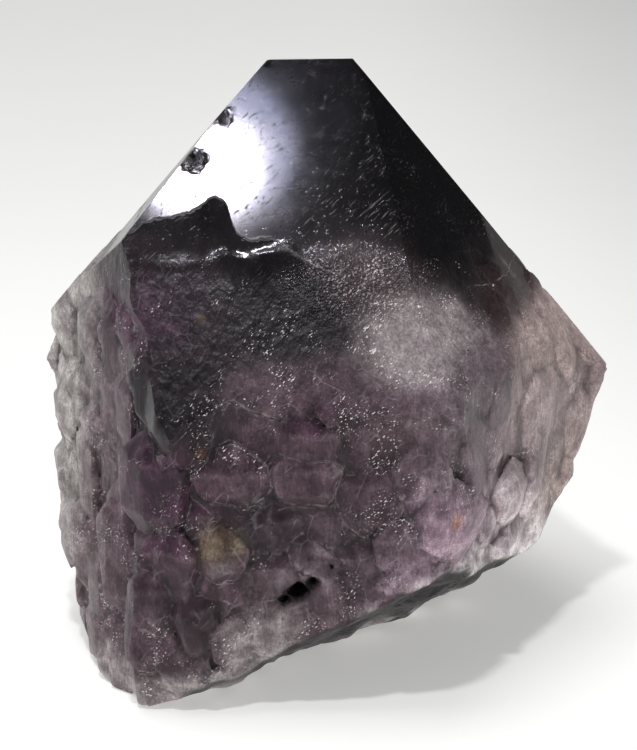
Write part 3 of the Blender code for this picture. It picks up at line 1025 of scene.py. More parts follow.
    def split(self, point: np.ndarray, corner: np.ndarray) -> np.ndarray:
        """Two triangles for each square, along the diagonal that bends the surface less."""
        a, b, c, d = (point[corner[:, k]] for k in range(4))

        def bend(first: np.ndarray, second: np.ndarray) -> np.ndarray:
            """How far two triangles are from flat to each other."""
            sizes = np.linalg.norm(first, axis=1) * np.linalg.norm(second, axis=1)
            return 1 - (first * second).sum(axis=1) / np.maximum(sizes, 1e-18)

        along_ac = bend(np.cross(b - a, c - a), np.cross(c - a, d - a))
        along_bd = bend(np.cross(b - a, d - a), np.cross(c - b, d - b))
        by_ac = (along_ac <= along_bd)[:, None]
        one = np.where(by_ac, corner[:, [0, 1, 2]], corner[:, [0, 1, 3]])
        two = np.where(by_ac, corner[:, [0, 2, 3]], corner[:, [1, 2, 3]])
        faces = np.concatenate([one, two])
        whole = (faces[:, 0] != faces[:, 1]) & (faces[:, 1] != faces[:, 2])
        return faces[whole & (faces[:, 0] != faces[:, 2])]


class Tint(Enum):
    """Body colours of the crystal, as reflected shares of red, green and blue."""

    SMOKE = (0.018, 0.013, 0.015)
    DEEP = (0.026, 0.013, 0.020)
    VIOLET = (0.084, 0.030, 0.063)
    GREY_VIOLET = (0.076, 0.046, 0.057)
    DUSK = (0.128, 0.088, 0.100)
    HAZE = (0.182, 0.144, 0.157)
    LILAC = (0.330, 0.235, 0.285)
    MAUVE = (0.460, 0.382, 0.370)
    CREAM = (0.440, 0.355, 0.315)
    BROWN = (0.075, 0.048, 0.048)
    PALE_GREEN = (0.370, 0.355, 0.325)
    CLOUD = (0.340, 0.310, 0.300)
    PALE = (0.700, 0.620, 0.625)
    WHITE = (0.880, 0.840, 0.820)
    RUST = (0.300, 0.130, 0.045)
    OCHRE = (0.170, 0.135, 0.070)


@dataclass(frozen=True)
class Stain:
    """A soft-edged patch of colour: middle and reach in millimetres, and how milky it is."""

    tint: Tint
    centre: tuple[float, float, float]
    reach: tuple[float, float, float]
    milk: float
    strength: float = 1.0


STAINS = (
    Stain(Tint.SMOKE, (0, -2, 112), (44, 40, 20), 0.04, 1.6),
    Stain(Tint.SMOKE, (24, -8, 94), (14, 20, 12), 0.05, 1.4),
    Stain(Tint.SMOKE, (-7, -34, 79), (11, 9, 8), 0.16, 2.2),
    Stain(Tint.BROWN, (9, -30, 84), (10, 9, 8), 0.50, 1.2),
    Stain(Tint.BROWN, (38, -10, 79), (9, 14, 6), 0.40),
    Stain(Tint.DEEP, (-28, -28, 84), (12, 9, 5), 0.24, 1.2),
    Stain(Tint.VIOLET, (-33, -32, 77), (12, 12, 8), 0.48),
    Stain(Tint.DEEP, (-17, -36, 77), (9, 8, 7), 0.28, 1.4),
    Stain(Tint.PALE_GREEN, (-50, -4, 62), (9, 20, 14), 0.82),
    Stain(Tint.PALE_GREEN, (-53, 0, 42), (9, 24, 16), 0.86),
    Stain(Tint.DUSK, (-43, -22, 58), (8, 12, 12), 0.66),
    Stain(Tint.DEEP, (-25, -42, 64), (8, 9, 11), 0.18, 3.2),
    Stain(Tint.DUSK, (-11, -44, 65), (10, 8, 6), 0.72),
    Stain(Tint.GREY_VIOLET, (3, -42, 68), (9, 8, 7), 0.52),
    Stain(Tint.CLOUD, (19, -36, 74), (11, 9, 7), 0.92, 1.8),
    Stain(Tint.DUSK, (12, -42, 60), (9, 8, 7), 0.74),
    Stain(Tint.HAZE, (28, -35, 63), (7, 9, 11), 0.64),
    Stain(Tint.CREAM, (47, -6, 64), (9, 18, 9), 0.88),
    Stain(Tint.MAUVE, (46, -12, 49), (10, 16, 12), 0.90),
    Stain(Tint.HAZE, (28, -36, 50), (8, 9, 9), 0.86, 1.4),
    Stain(Tint.DUSK, (42, -18, 42), (8, 9, 4), 0.80, 1.2),
    Stain(Tint.CREAM, (50, -4, 36), (9, 14, 10), 0.88, 1.5),
    Stain(Tint.PALE, (38, -22, 35), (9, 10, 8), 0.92),
    Stain(Tint.VIOLET, (-30, -45, 46), (9, 10, 14), 0.55, 1.3),
    Stain(Tint.DUSK, (-42, -22, 38), (7, 12, 15), 0.74),
    Stain(Tint.GREY_VIOLET, (-14, -45, 52), (9, 8, 9), 0.74),
    Stain(Tint.GREY_VIOLET, (2, -45, 52), (11, 8, 11), 0.62),
    Stain(Tint.VIOLET, (-2, -45, 60), (6, 6, 5), 0.55),
    Stain(Tint.OCHRE, (-20.5, -45, 36), (2.6, 6, 2.4), 0.70, 1.6),
    Stain(Tint.OCHRE, (-16, -45, 35.5), (1.8, 6, 2.4), 0.70, 1.4),
    Stain(Tint.CLOUD, (-19, -45, 31.5), (1.8, 5, 1.4), 0.80, 1.6),
    Stain(Tint.GREY_VIOLET, (-17, -45, 30), (8, 8, 7), 0.66),
    Stain(Tint.DEEP, (-10, -44, 40), (6, 6, 5), 0.50),
    Stain(Tint.GREY_VIOLET, (9, -44, 38), (9, 8, 8), 0.60, 1.4),
    Stain(Tint.HAZE, (1.0, -45, 34), (3.0, 5, 5), 0.84, 1.2),
    Stain(Tint.HAZE, (-8, -45, 29), (2.4, 5, 2.0), 0.80, 0.8),
    Stain(Tint.LILAC, (25, -41, 38), (9, 9, 8), 0.90, 1.4),
    Stain(Tint.LILAC, (15, -43, 32), (5, 6, 5), 0.86),
    Stain(Tint.GREY_VIOLET, (-30, -44, 22), (9, 9, 14), 0.62, 1.3),
    Stain(Tint.CLOUD, (-13, -44, 17), (6, 8, 6), 0.78, 0.4),
    Stain(Tint.CLOUD, (-28, -42, 4), (22, 12, 3.4), 0.80),
    Stain(Tint.WHITE, (31, -31, 26), (8, 8, 2.6), 0.92, 3.0),
    Stain(Tint.WHITE, (40, -20, 26), (6, 8, 3.0), 0.92, 3.0),
    Stain(Tint.RUST, (25, -44, 41), (0.9, 5, 1.6), 0.90, 3.0),
    Stain(Tint.RUST, (-21, -45, 54), (1.0, 5, 1.0), 0.80, 2.0),
    Stain(Tint.OCHRE, (-22, -36, 76), (1.2, 5, 1.1), 0.70, 2.0),
    Stain(Tint.MAUVE, (44, 26, 44), (16, 18, 20), 0.84, 0.8),
    Stain(Tint.DUSK, (28, 40, 58), (14, 14, 16), 0.72),
    Stain(Tint.GREY_VIOLET, (4, 46, 62), (16, 14, 14), 0.60),
    Stain(Tint.DEEP, (10, 44, 46), (12, 12, 11), 0.40, 0.8),
    Stain(Tint.LILAC, (20, 44, 30), (12, 12, 10), 0.84),
    Stain(Tint.DUSK, (-10, 46, 32), (14, 12, 14), 0.74),
    Stain(Tint.HAZE, (-40, 28, 34), (14, 14, 14), 0.80),
    Stain(Tint.GREY_VIOLET, (-34, 34, 58), (14, 14, 12), 0.66),
    Stain(Tint.VIOLET, (-16, 42, 68), (12, 12, 10), 0.50),
    Stain(Tint.VIOLET, (-26, 42, 46), (9, 12, 10), 0.55, 0.8),
    Stain(Tint.HAZE, (36, 36, 70), (12, 12, 8), 0.76),
    Stain(Tint.CLOUD, (10, 44, 6), (30, 16, 5), 0.82),
)


@dataclass(frozen=True)
class Colouring:
    """Body colour, milkiness and state of the surface at every point of the skin."""

    crystals: int
    large: int
    seed: int = 5
    plain_weight: float = 0.02
    plain_milk: float = 0.7
    wandering: float = 0.0024
    frost_strength: float = 0.92
    # Nearly black colour of the break: painted shade.
    painted_break_shade: tuple[float, float, float] = (0.014, 0.010, 0.012)
    druse_centre: tuple[float, float, float] = (8.0, -32.0, 83.0)
    druse_reach: tuple[float, float, float] = (13.0, 8.0, 7.0)

    def stained(self, warped: np.ndarray) -> tuple[np.ndarray, np.ndarray]:
        """The stains, blended by weight exp(-1.4 d^2) of their scaled distance d.

        Args:
            warped: places in millimetres, shifted a little so that the stains' edges wander.

        Returns:
            Colour and milkiness at each place.
        """
        total = np.zeros((len(warped), 4))
        weight = np.full(len(warped), self.plain_weight)
        total[:, :3] += self.plain_weight * np.array(Tint.DUSK.value)
        total[:, 3] += self.plain_weight * self.plain_milk
        for stain in STAINS:
            gap = (warped - np.array(stain.centre)) / np.array(stain.reach)
            near = stain.strength * np.exp(-1.4 * (gap**2).sum(axis=1))
            total[:, :3] += near[:, None] * np.array(stain.tint.value)
            total[:, 3] += near * stain.milk
            weight += near
        return total[:, :3] / weight[:, None], total[:, 3] / weight

    def frost(self, points: np.ndarray, broken: np.ndarray, foot: Foot) -> np.ndarray:
        """How far the rim of the break is frosted white, most at the right."""
        above = points[:, 2] - foot.at(points[:, :2])
        rim = np.exp(-np.clip(above, 0, None) / 0.0011) * (1 - broken)
        rim = rim + broken * np.exp(-np.clip(points[:, 2] - 0.004, 0, None) / 0.002)
        patchy = smooth_step(-0.20, 0.20, layered_noise(points, 0.0058, 61))
        return patchy * np.clip(rim, 0, 1) * (0.45 + 0.55 * smooth_step(5, 25, points[:, 0] / MM))

    def painted(self, surface: Surface, seams: np.ndarray, skin: Skin) -> dict[str, np.ndarray]:
        """The attributes that the finish reads.

        Every crystal gets its own slight shift in brightness. Ridges get a painted highlight and hollows
        painted shade, by how far the softened skin lies from the skin itself. The break is painted nearly
        black, as painted shade.

        Args:
            surface: the skin.
            seams: for each point the distances to an edge and a groove, and its crystal.
            skin: what the skin was grown from: its break has a frosted rim, and its ledge a crack.

        Returns:
            Colour (n, 4) arrays by name.
        """
        points, normals = surface.points, surface.normals()
        drift = np.stack([layered_noise(points, 0.011, 40 + k) for k in range(3)], axis=1)
        warped = (points + drift * self.wandering) / MM
        tint, milk = self.stained(warped)
        shades = np.random.default_rng(self.seed).uniform(-1, 1, (self.crystals, 3))
        shades[:2] = 0
        owner = seams[:, 2].astype(int)
        mine = shades[owner]
        worn = worn_share(points)
        stands_out = (owner > 1) & (owner < 2 + self.large)
        # rim_share sets how strongly the painted shade and painted highlight of the joints show.
        rim_share = np.where(stands_out, 1.0, 0.30 + 0.30 * mine[:, 2])
        rim_share = rim_share * (1 - 0.75 * worn)
        tip = surface.blurred(surface.tip, 2)
        broken = surface.blurred(surface.broken, 2)
        etched = np.clip(1 - tip - broken, 0, 1)
        tint = tint * (1 + 0.16 * mine[:, :1] * etched[:, None])
        milk = milk + 0.10 * mine[:, 1] * etched
        soft = surface.blurred(points, 3)
        wide = surface.blurred(points, 16)
        ridge = np.clip(-((soft - points) * normals).sum(axis=1) / 0.00010, -1.5, 1.5)
        hollow = np.clip(((wide - points) * normals).sum(axis=1) / 0.00045, -1.5, 1.5)
        # Painted highlight on the ridges (lift) and painted shade in the hollows, which also changes the
        # milkiness.
        lift = smooth_step(0.25, 1.1, ridge) * etched
        hollow_shade = smooth_step(0.05, 1.0, hollow) * etched
        tint = tint + (np.array(Tint.PALE.value) - tint) * (0.06 * lift)[:, None]
        tint = tint * (1 - 0.38 * hollow_shade)[:, None]
        milk = milk + 0.05 * lift - 0.18 * hollow_shade
        frost = self.frost(points, broken, skin.foot)
        # Painted shade: the break, underneath and in the chips, is coloured nearly black, with rubble
        # noise in it.
        rubble = 1 + 0.5 * layered_noise(points, 0.005, 62)
        painted_break_shade = np.array(self.painted_break_shade) * rubble[:, None]
        tint = tint * (1 - broken[:, None]) + painted_break_shade * broken[:, None]
        tint = tint + (np.array(Tint.WHITE.value) - tint) * (self.frost_strength * frost)[:, None]
        milk = milk * (1 - broken) + 0.62 * broken + 0.3 * frost
        height = points[:, 2] / MM + 4.0 * drift[:, 0]
        front = smooth_step(81, 87, height)
        right = smooth_step(26, 32, warped[:, 0]) * smooth_step(66, 76, height)
        behind = smooth_step(0, 10, warped[:, 1]) * smooth_step(78, 86, height)
        tip = tip * np.maximum(np.maximum(front, right), behind)
        away = (warped - np.array(self.druse_centre)) / np.array(self.druse_reach)
        druse = np.clip(1.6 * np.exp(-(away**2).sum(1)) - 0.25, 0, 1)
        edge_line = skin.ledge_at(points[:, :2])
        crack = np.where(points[:, 1] < 0.004, (points[:, 2] - edge_line) / MM, 9.0)
        one = np.ones(len(points))
        return {
            "tint": np.stack([*np.clip(tint, 0, 1).T, one], axis=1),
            "state": np.stack([np.clip(milk, 0, 1), tip, broken, one], axis=1),
            "relief": np.stack([crack, worn, druse, one], axis=1),
            "seam": np.stack([*(seams[:, :2].T / MM), rim_share * etched, one], axis=1),
        }


def plug(value: object, socket: bpy.types.NodeSocket) -> None:
    """Feeds a socket with a wire or with a constant."""
    if isinstance(value, Wire):
        value.tree.links.new(value.socket, socket)
    else:
        socket.default_value = value


@dataclass
class Wire:
    """A socket of a material, with the sums that are done on it as Math nodes."""

    tree: bpy.types.NodeTree
    socket: bpy.types.NodeSocket

    def math(self, operation: str, *others: "Wire | float", clamp: bool = False) -> "Wire":
        """A Math node on this socket and others."""
        node = self.tree.nodes.new("ShaderNodeMath")
        node.operation = operation
        node.use_clamp = clamp
        for slot, value in enumerate((self, *others)):
            plug(value, node.inputs[slot])
        return Wire(self.tree, node.outputs[0])

    def __add__(self, other: "Wire | float") -> "Wire":
        """The sum."""
        return self.math("ADD", other)

    def __mul__(self, other: "Wire | float") -> "Wire":
        """The product."""
        return self.math("MULTIPLY", other)

    def __sub__(self, other: "Wire | float") -> "Wire":
        """The difference."""
        return self.math("SUBTRACT", other)

    def __rsub__(self, other: float) -> "Wire":
        """The difference the other way round."""
        return self.math("MULTIPLY", -1.0).math("ADD", other)

    __radd__ = __add__
    __rmul__ = __mul__

    def clamped(self) -> "Wire":
        """The value, kept between 0 and 1."""
        return self.math("ADD", 0.0, clamp=True)


@dataclass
class Shop:
    """Makes the nodes of one node tree."""

    tree: bpy.types.NodeTree

    def node(
        self, kind: str, settings: dict[str, object] | None = None, **sockets: object
    ) -> bpy.types.Node:
        """A node with its settings, and then its sockets.

        Args:
            kind: the node's type.
            settings: its own settings, such as a Math node's operation.
            **sockets: a value or a wire for each socket, by its name with underscores for spaces,
                or by n and its number.

        Returns:
            The node.
        """
        node = self.tree.nodes.new(kind)
        for name, value in (settings or {}).items():
            setattr(node, name, value)
        for name, value in sockets.items():
            numbered = name[0] == "n" and name[1:].isdigit()
            plug(value, node.inputs[int(name[1:]) if numbered else name.replace("_", " ")])
        return node

    def out(self, node: bpy.types.Node, name: str | int = 0) -> Wire:
        """A wire from one of a node's outputs."""
        return Wire(self.tree, node.outputs[name])

    def attribute(self, name: str) -> tuple[Wire, Wire, Wire, Wire]:
        """A colour attribute: the colour, and its red, green and blue."""
        read = self.node("ShaderNodeAttribute", {"attribute_name": name})
        colour = self.out(read, "Color")
        parts = self.node("ShaderNodeSeparateColor", Color=colour)
        return colour, self.out(parts, 0), self.out(parts, 1), self.out(parts, 2)

    def noise(self, place: Wire, scale: float, detail: float = 2.0) -> Wire:
        """Noise from 0 to 1 at a scale per metre."""
        made = self.node("ShaderNodeTexNoise", Vector=place, Scale=scale, Detail=detail)
        return self.out(made, "Fac")

    def stretched(
        self, place: Wire, turn: tuple[float, float, float], scale: tuple[float, float, float]
    ) -> Wire:
        """Coordinates along turned axes, with a scale per metre along each of them."""
        size = tuple(1.0 / number for number in scale)
        mapping = self.node(
            "ShaderNodeMapping", {"vector_type": "TEXTURE"}, Vector=place, Rotation=turn, Scale=size
        )
        return self.out(mapping)

    def cells(self, place: Wire, output: str, **settings: str) -> Wire:
        """An output of a pattern of cells, one unit across."""
        return self.out(self.node("ShaderNodeTexVoronoi", settings, Vector=place, Scale=1.0), output)

    def step(self, value: Wire, low: float, high: float) -> Wire:
        """A value eased from 0 at low to 1 at high."""
        made = self.node("ShaderNodeMapRange", {"interpolation_type": "SMOOTHSTEP"}, Value=value)
        for slot, number in enumerate((low, high), start=1):
            made.inputs[slot].default_value = number
        return self.out(made)

    def mixed(self, share: Wire | float, first: object, second: object, blend: str = "MIX") -> Wire:
        """Two colours blended."""
        made = self.node("ShaderNodeMix", {"data_type": "RGBA", "blend_type": blend})
        for slot, value in ((0, share), (6, first), (7, second)):
            plug(value, made.inputs[slot])
        return self.out(made, 2)


class Patterns:
    """The mesh's attributes and the patterns drawn from them, each made when first asked for."""

    def __init__(self, shop: Shop) -> None:
        self.shop = shop
        self.place = shop.out(shop.node("ShaderNodeTexCoord"), "Object")
        self.tint, *_ = shop.attribute("tint")
        _, self.milk, self.tip, self.broken = shop.attribute("state")
        _, self.crack, self.worn, self.druse = shop.attribute("relief")
        _, _, self.groove, self.rim_share = shop.attribute("seam")
        self.side = (1.0 - self.tip - self.broken).clamped()
        self.slant = (0.70, -0.573, 0.572)

    def speckle(self, scale: float, low: float, high: float, detail: float = 2.0) -> Wire:
        """Noise with a sharper contrast, eased from 0 at low to 1 at high."""
        return self.shop.step(self.shop.noise(self.place, scale, detail), low, high)

    def grown(
        self, turn: tuple[float, float, float], scale: tuple[float, float, float], detail: float = 2.0
    ) -> Wire:
        """Noise drawn out along turned axes."""
        return self.shop.noise(self.shop.stretched(self.place, turn, scale), 1.0, detail)

    @cached_property
    def cloud(self) -> Wire:
        """Soft clouds some millimetres across, weaker where the sides are worn."""
        cloud = self.speckle(260.0, 0.30, 0.70)
        return cloud - self.worn * (cloud - 0.5) * 0.55

    @cached_property
    def mottle(self) -> Wire:
        """Spots about a millimetre across."""
        return self.speckle(900.0, 0.32, 0.68)

    @cached_property
    def grain(self) -> Wire:
        """Spots of under half a millimetre."""
        return self.speckle(2600.0, 0.34, 0.66)

    @cached_property
    def etched(self) -> Wire:
        """The roughness that etching left."""
        return self.shop.noise(self.place, 1500.0, 2.0)

    @cached_property
    def fibre(self) -> Wire:
        """Fine upright growth lines."""
        return self.shop.step(self.grown((0.0, 0.0, 0.0), (2400.0, 2400.0, 380.0)), 0.3, 0.7)

    @cached_property
    def column(self) -> Wire:
        """Broad upright growth lines."""
        return self.grown((0.0, 0.0, 0.0), (1100.0, 1100.0, 90.0))

    @cached_property
    def facet(self) -> Wire:
        """Small upright pyramids with flat faces."""
        place = self.shop.stretched(self.place, (0.06, -0.05, 0.5), (520.0, 520.0, 150.0))
        return self.shop.cells(place, "Distance", feature="F1", distance="CHEBYCHEV")

    @cached_property
    def scratch(self) -> Wire:
        """Long scratches on the ground tip."""
        field = self.grown((0.70, -0.45, 0.80), (200.0, 3000.0, 3000.0), 1.0)
        return self.shop.step(field, 0.64, 0.76)

    @cached_property
    def painted_glints(self) -> Wire:
        """Painted glints: small bright flecks in crowds, on the sides and the druse."""
        specks = self.shop.step(self.grown(self.slant, (1500.0, 3400.0, 3000.0), 1.0), 0.62, 0.72)
        crowd = self.speckle(170.0, 0.50, 0.64, 3.0)
        return (specks * (0.10 + crowd) * (self.side + self.druse)).clamped()

    @cached_property
    def painted_druse_glints(self) -> Wire:
        """Painted glints: the single bright cells of the druse."""
        place = self.shop.stretched(self.place, self.slant, (3000.0, 4600.0, 4200.0))
        shine = self.shop.out(
            self.shop.node(
                "ShaderNodeSeparateColor", Color=self.shop.cells(place, "Color", feature="F1")
            )
        )
        patch = (self.druse * (0.30 + self.cloud)).clamped()
        return (self.shop.step(shine, 0.78, 0.98) * patch).clamped()

    @cached_property
    def vein(self) -> Wire:
        """Thin pale healed cracks in the sides."""
        place = self.shop.stretched(self.place, (0.25, 0.35, 0.2), (300.0, 300.0, 150.0))
        edge = self.shop.cells(place, "Distance", feature="DISTANCE_TO_EDGE")
        return (self.shop.step(edge, 0.040, 0.006) * self.speckle(230.0, 0.50, 0.62) * self.side).clamped()

    @cached_property
    def gap(self) -> Wire:
        """Painted shade in the joint between two side crystals."""
        joint = self.shop.step(self.groove, 0.10, 0.02) * self.side
        return (joint * (0.15 + self.rim_share * 0.85)).clamped()

    @cached_property
    def rim(self) -> Wire:
        """Painted highlight: the broken pale line along that joint."""
        outline = self.shop.step(self.groove, 0.22, 0.12) * (1.0 - self.gap)
        return (outline * self.shop.step(self.mottle, 0.0, 0.6) * self.rim_share).clamped()

    @cached_property
    def dust(self) -> Wire:
        """Patches of pale slanted streaks on the tip."""
        streak = self.shop.step(self.grown(self.slant, (380.0, 3000.0, 3000.0)), 0.56, 0.72)
        return (self.tip * streak * self.speckle(120.0, 0.42, 0.66, 1.0)).clamped()

    @cached_property
    def wander(self) -> Wire:
        """Millimetres above the crack under the bright patch, with a wavering line."""
        return self.crack + (self.mottle - 0.5) * 0.35

    @cached_property
    def lip(self) -> Wire:
        """Painted highlight: the pale upper edge of the crack."""
        band = self.shop.step(self.wander, -0.05, 0.10) * self.shop.step(self.wander, 0.34, 0.16)
        return (band * self.tip * self.cloud).clamped()

    @cached_property
    def under(self) -> Wire:
        """The dull band below the crack."""
        band = self.shop.step(self.wander, -0.50, -0.10) * self.shop.step(self.wander, 0.05, -0.05)
        return band * self.tip

    def shade(self) -> Wire:
        """Body colour with painted shade in the joints and painted highlights along them and the crack,
        but without the painted glints.
        """
        shade = self.tint
        for pattern, dark, light in (
            (self.cloud, (0.72, 0.66, 0.70, 1.0), 1.32),
            (self.mottle, (0.88, 0.86, 0.88, 1.0), 1.15),
            (self.grain, (0.84, 0.83, 0.84, 1.0), 1.18),
            (self.fibre, (0.84, 0.82, 0.84, 1.0), 1.18),
        ):
            factor = self.shop.mixed(pattern, dark, (light, light, light, 1.0))
            shade = self.shop.mixed(1.0, shade, factor, "MULTIPLY")
        # Painted shade in the joints, and painted highlights along them and on the crack's upper edge; the
        # veins and dust are the crystal's own.
        for share, colour in (
            (self.vein * 0.30, (0.46, 0.40, 0.42, 1.0)),
            (self.gap * 0.60, (0.014, 0.009, 0.012, 1.0)),
            (self.rim * 0.36, (0.50, 0.44, 0.45, 1.0)),
            (self.dust * 0.8, (0.24, 0.21, 0.22, 1.0)),
            (self.lip * 0.7, (0.50, 0.48, 0.52, 1.0)),
        ):
            shade = self.shop.mixed(share, shade, colour)
        return shade

    def relief(self) -> Wire:
        """The normal: etched sides, a hackly break, a scratched tip, and a tilt below the crack."""
        height = self.side * (self.etched * 0.12 + self.column * 0.42 + self.facet * 0.52)
        height = height * (1.0 - self.worn * 0.40)
        height = height + self.broken * self.etched * 2.0 - self.tip * self.scratch * 0.12
        height = height + self.druse * self.grain * 0.3 - (self.crack * -0.11).clamped() * 2.2
        bump = self.shop.node("ShaderNodeBump", Height=height, Strength=0.6, Distance=0.00035)
        return self.shop.out(bump)

    def clear_roughness(self) -> Wire:
        """Roughness of the clear part: glossy on the tip and satin elsewhere."""
        wave = self.tip * (self.shop.noise(self.place, 130.0, 2.0) - 0.5)
        rough = 0.068 + self.side * 0.24 + self.broken * 0.22 + wave * 0.05
        return (rough + self.under * 0.4).clamped()

    def milkiness(self) -> Wire:
        """The share of the milky part in the mix. The painted glints and highlights raise it, and the
        painted shade in the joints lowers it.
        """
        share = self.milk + (self.cloud - 0.5) * 0.22 * self.side + self.painted_glints * 0.6
        share = share + self.rim * 0.3 - self.gap * 0.2 + self.dust * 0.4
        return (share + self.painted_druse_glints * 0.45 + self.lip * 0.5).clamped()


@dataclass(frozen=True)
class Amethyst:
    """Smoky to milky violet quartz: clear where it is ground, and clouded where it is etched."""

    ior: float = 1.544
    absorbed: tuple[float, float, float, float] = (0.45, 0.22, 0.40, 1.0)
    density: float = 330.0

    def material(self) -> bpy.types.Material:
        """The finished material: a clear and a milky part mixed, around absorbing quartz."""
        material = bpy.data.materials.new("amethyst")
        material.use_nodes = True
        material.node_tree.nodes.clear()
        shop = Shop(material.node_tree)
        patterns = Patterns(shop)
        shade = patterns.shade()
        # Painted glints: bright flecks on the sides and bright cells in the druse.
        body = shop.mixed(patterns.painted_glints * 0.9, shade, (0.86, 0.80, 0.79, 1.0))
        body = shop.mixed(patterns.painted_druse_glints * 0.66, body, (0.66, 0.59, 0.62, 1.0))
        normal = patterns.relief()
        clear = shop.node(
            "ShaderNodeBsdfPrincipled",
            Base_Color=shop.mixed(0.85, (1.0, 1.0, 1.0, 1.0), shade),
            Roughness=patterns.clear_roughness(),
            IOR=self.ior,
            Specular_Tint=(0.44, 0.42, 0.46, 1.0),
            Transmission_Weight=1.0,
            Normal=normal,
        )
        milky = shop.node(
            "ShaderNodeBsdfPrincipled",
            Base_Color=body,
            Roughness=(0.34 + patterns.etched * 0.22 - patterns.druse * 0.12).clamped(),
            IOR=self.ior,
            Specular_IOR_Level=0.16,
            Normal=normal,
        )
        mixed = shop.node(
            "ShaderNodeMixShader", Fac=patterns.milkiness(), n1=shop.out(clear), n2=shop.out(milky)
        )
        thick = shop.node("ShaderNodeVolumeAbsorption", Color=self.absorbed, Density=self.density)
        output = shop.node(
            "ShaderNodeOutputMaterial", Surface=shop.out(mixed), Volume=shop.out(thick)
        )
        output.is_active_output = True
        return material


@dataclass
class Crystal:
    """The amethyst point as one piece."""

    low: tuple[float, float, float]
    high: tuple[float, float, float]
    finish: Amethyst = field(default_factory=Amethyst)
    etch_depth: float = 0.00016
    hackle_depth: float = 0.00035
    sharp_angle: float = 26.0

    def surface(self) -> tuple[Surface, dict[str, np.ndarray]]:
        """The skin, with the etched sides softened and roughened a little, and its colours."""
        core = Core()
        growth = Overgrowth(core)
        skin = Skin(core, growth, Foot(), self.low, self.high)
        surface = skin.grow()
        table, least, most = skin.bodies()
        seams = surface.seams(table, least, most)
        colours = Colouring(len(table), len(growth.large)).painted(surface, seams, skin)
        side = surface.blurred(1 - surface.tip, 1)
        soft = surface.blurred(surface.points, 2, 0.5)
        surface.points = surface.points + (soft - surface.points) * (0.75 * side)[:, None]
        worn = side * worn_share(surface.points)
        calm = surface.blurred(surface.points, 30, 0.6)
        surface.points = surface.points + (calm - surface.points) * worn[:, None]
        etched = layered_noise(surface.points, 0.0034, 70) * self.etch_depth
        hackle = layered_noise(surface.points, 0.0042, 80) * self.hackle_depth
        broken = surface.blurred(surface.broken, 1)
        plain = np.clip(side - broken, 0, 1)
        rest = smooth_step(0.0002, 0.0012, surface.points[:, 2])
        push = (etched * plain + hackle * broken) * rest
        surface.points = surface.points + surface.normals() * push[:, None]
        surface.points[:, 2] = np.maximum(surface.points[:, 2], self.low[2])
        return surface, colours

    def build(self) -> bpy.types.Object:
        """The finished piece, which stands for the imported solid."""
        surface, colours = self.surface()
        LOG.info("skin: %d points, %d triangles", len(surface.points), len(surface.triangles))
        mesh = bpy.data.meshes.new("crystal_skin")
        mesh.vertices.add(len(surface.points))
        mesh.vertices.foreach_set("co", surface.points.astype(np.float32).ravel())
        count = len(surface.triangles)
        mesh.loops.add(count * 3)
        mesh.loops.foreach_set("vertex_index", surface.triangles.astype(np.int32).ravel())
        mesh.polygons.add(count)
        mesh.polygons.foreach_set("loop_start", np.arange(0, count * 3, 3, dtype=np.int32))
        mesh.update(calc_edges=True)
        mesh.validate()
        mesh.polygons.foreach_set("use_smooth", np.ones(len(mesh.polygons), dtype=bool))
        mesh.set_sharp_from_angle(angle=math.radians(self.sharp_angle))
        for name, values in colours.items():
            layer = mesh.attributes.new(name, "FLOAT_COLOR", "POINT")
            layer.data.foreach_set("color", values.astype(np.float32).ravel())
        mesh.materials.append(self.finish.material())
        piece = bpy.data.objects.new("crystal_skin", mesh)
        bpy.context.scene.collection.objects.link(piece)
        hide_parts(NODE)
        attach(piece, "root")
        return piece


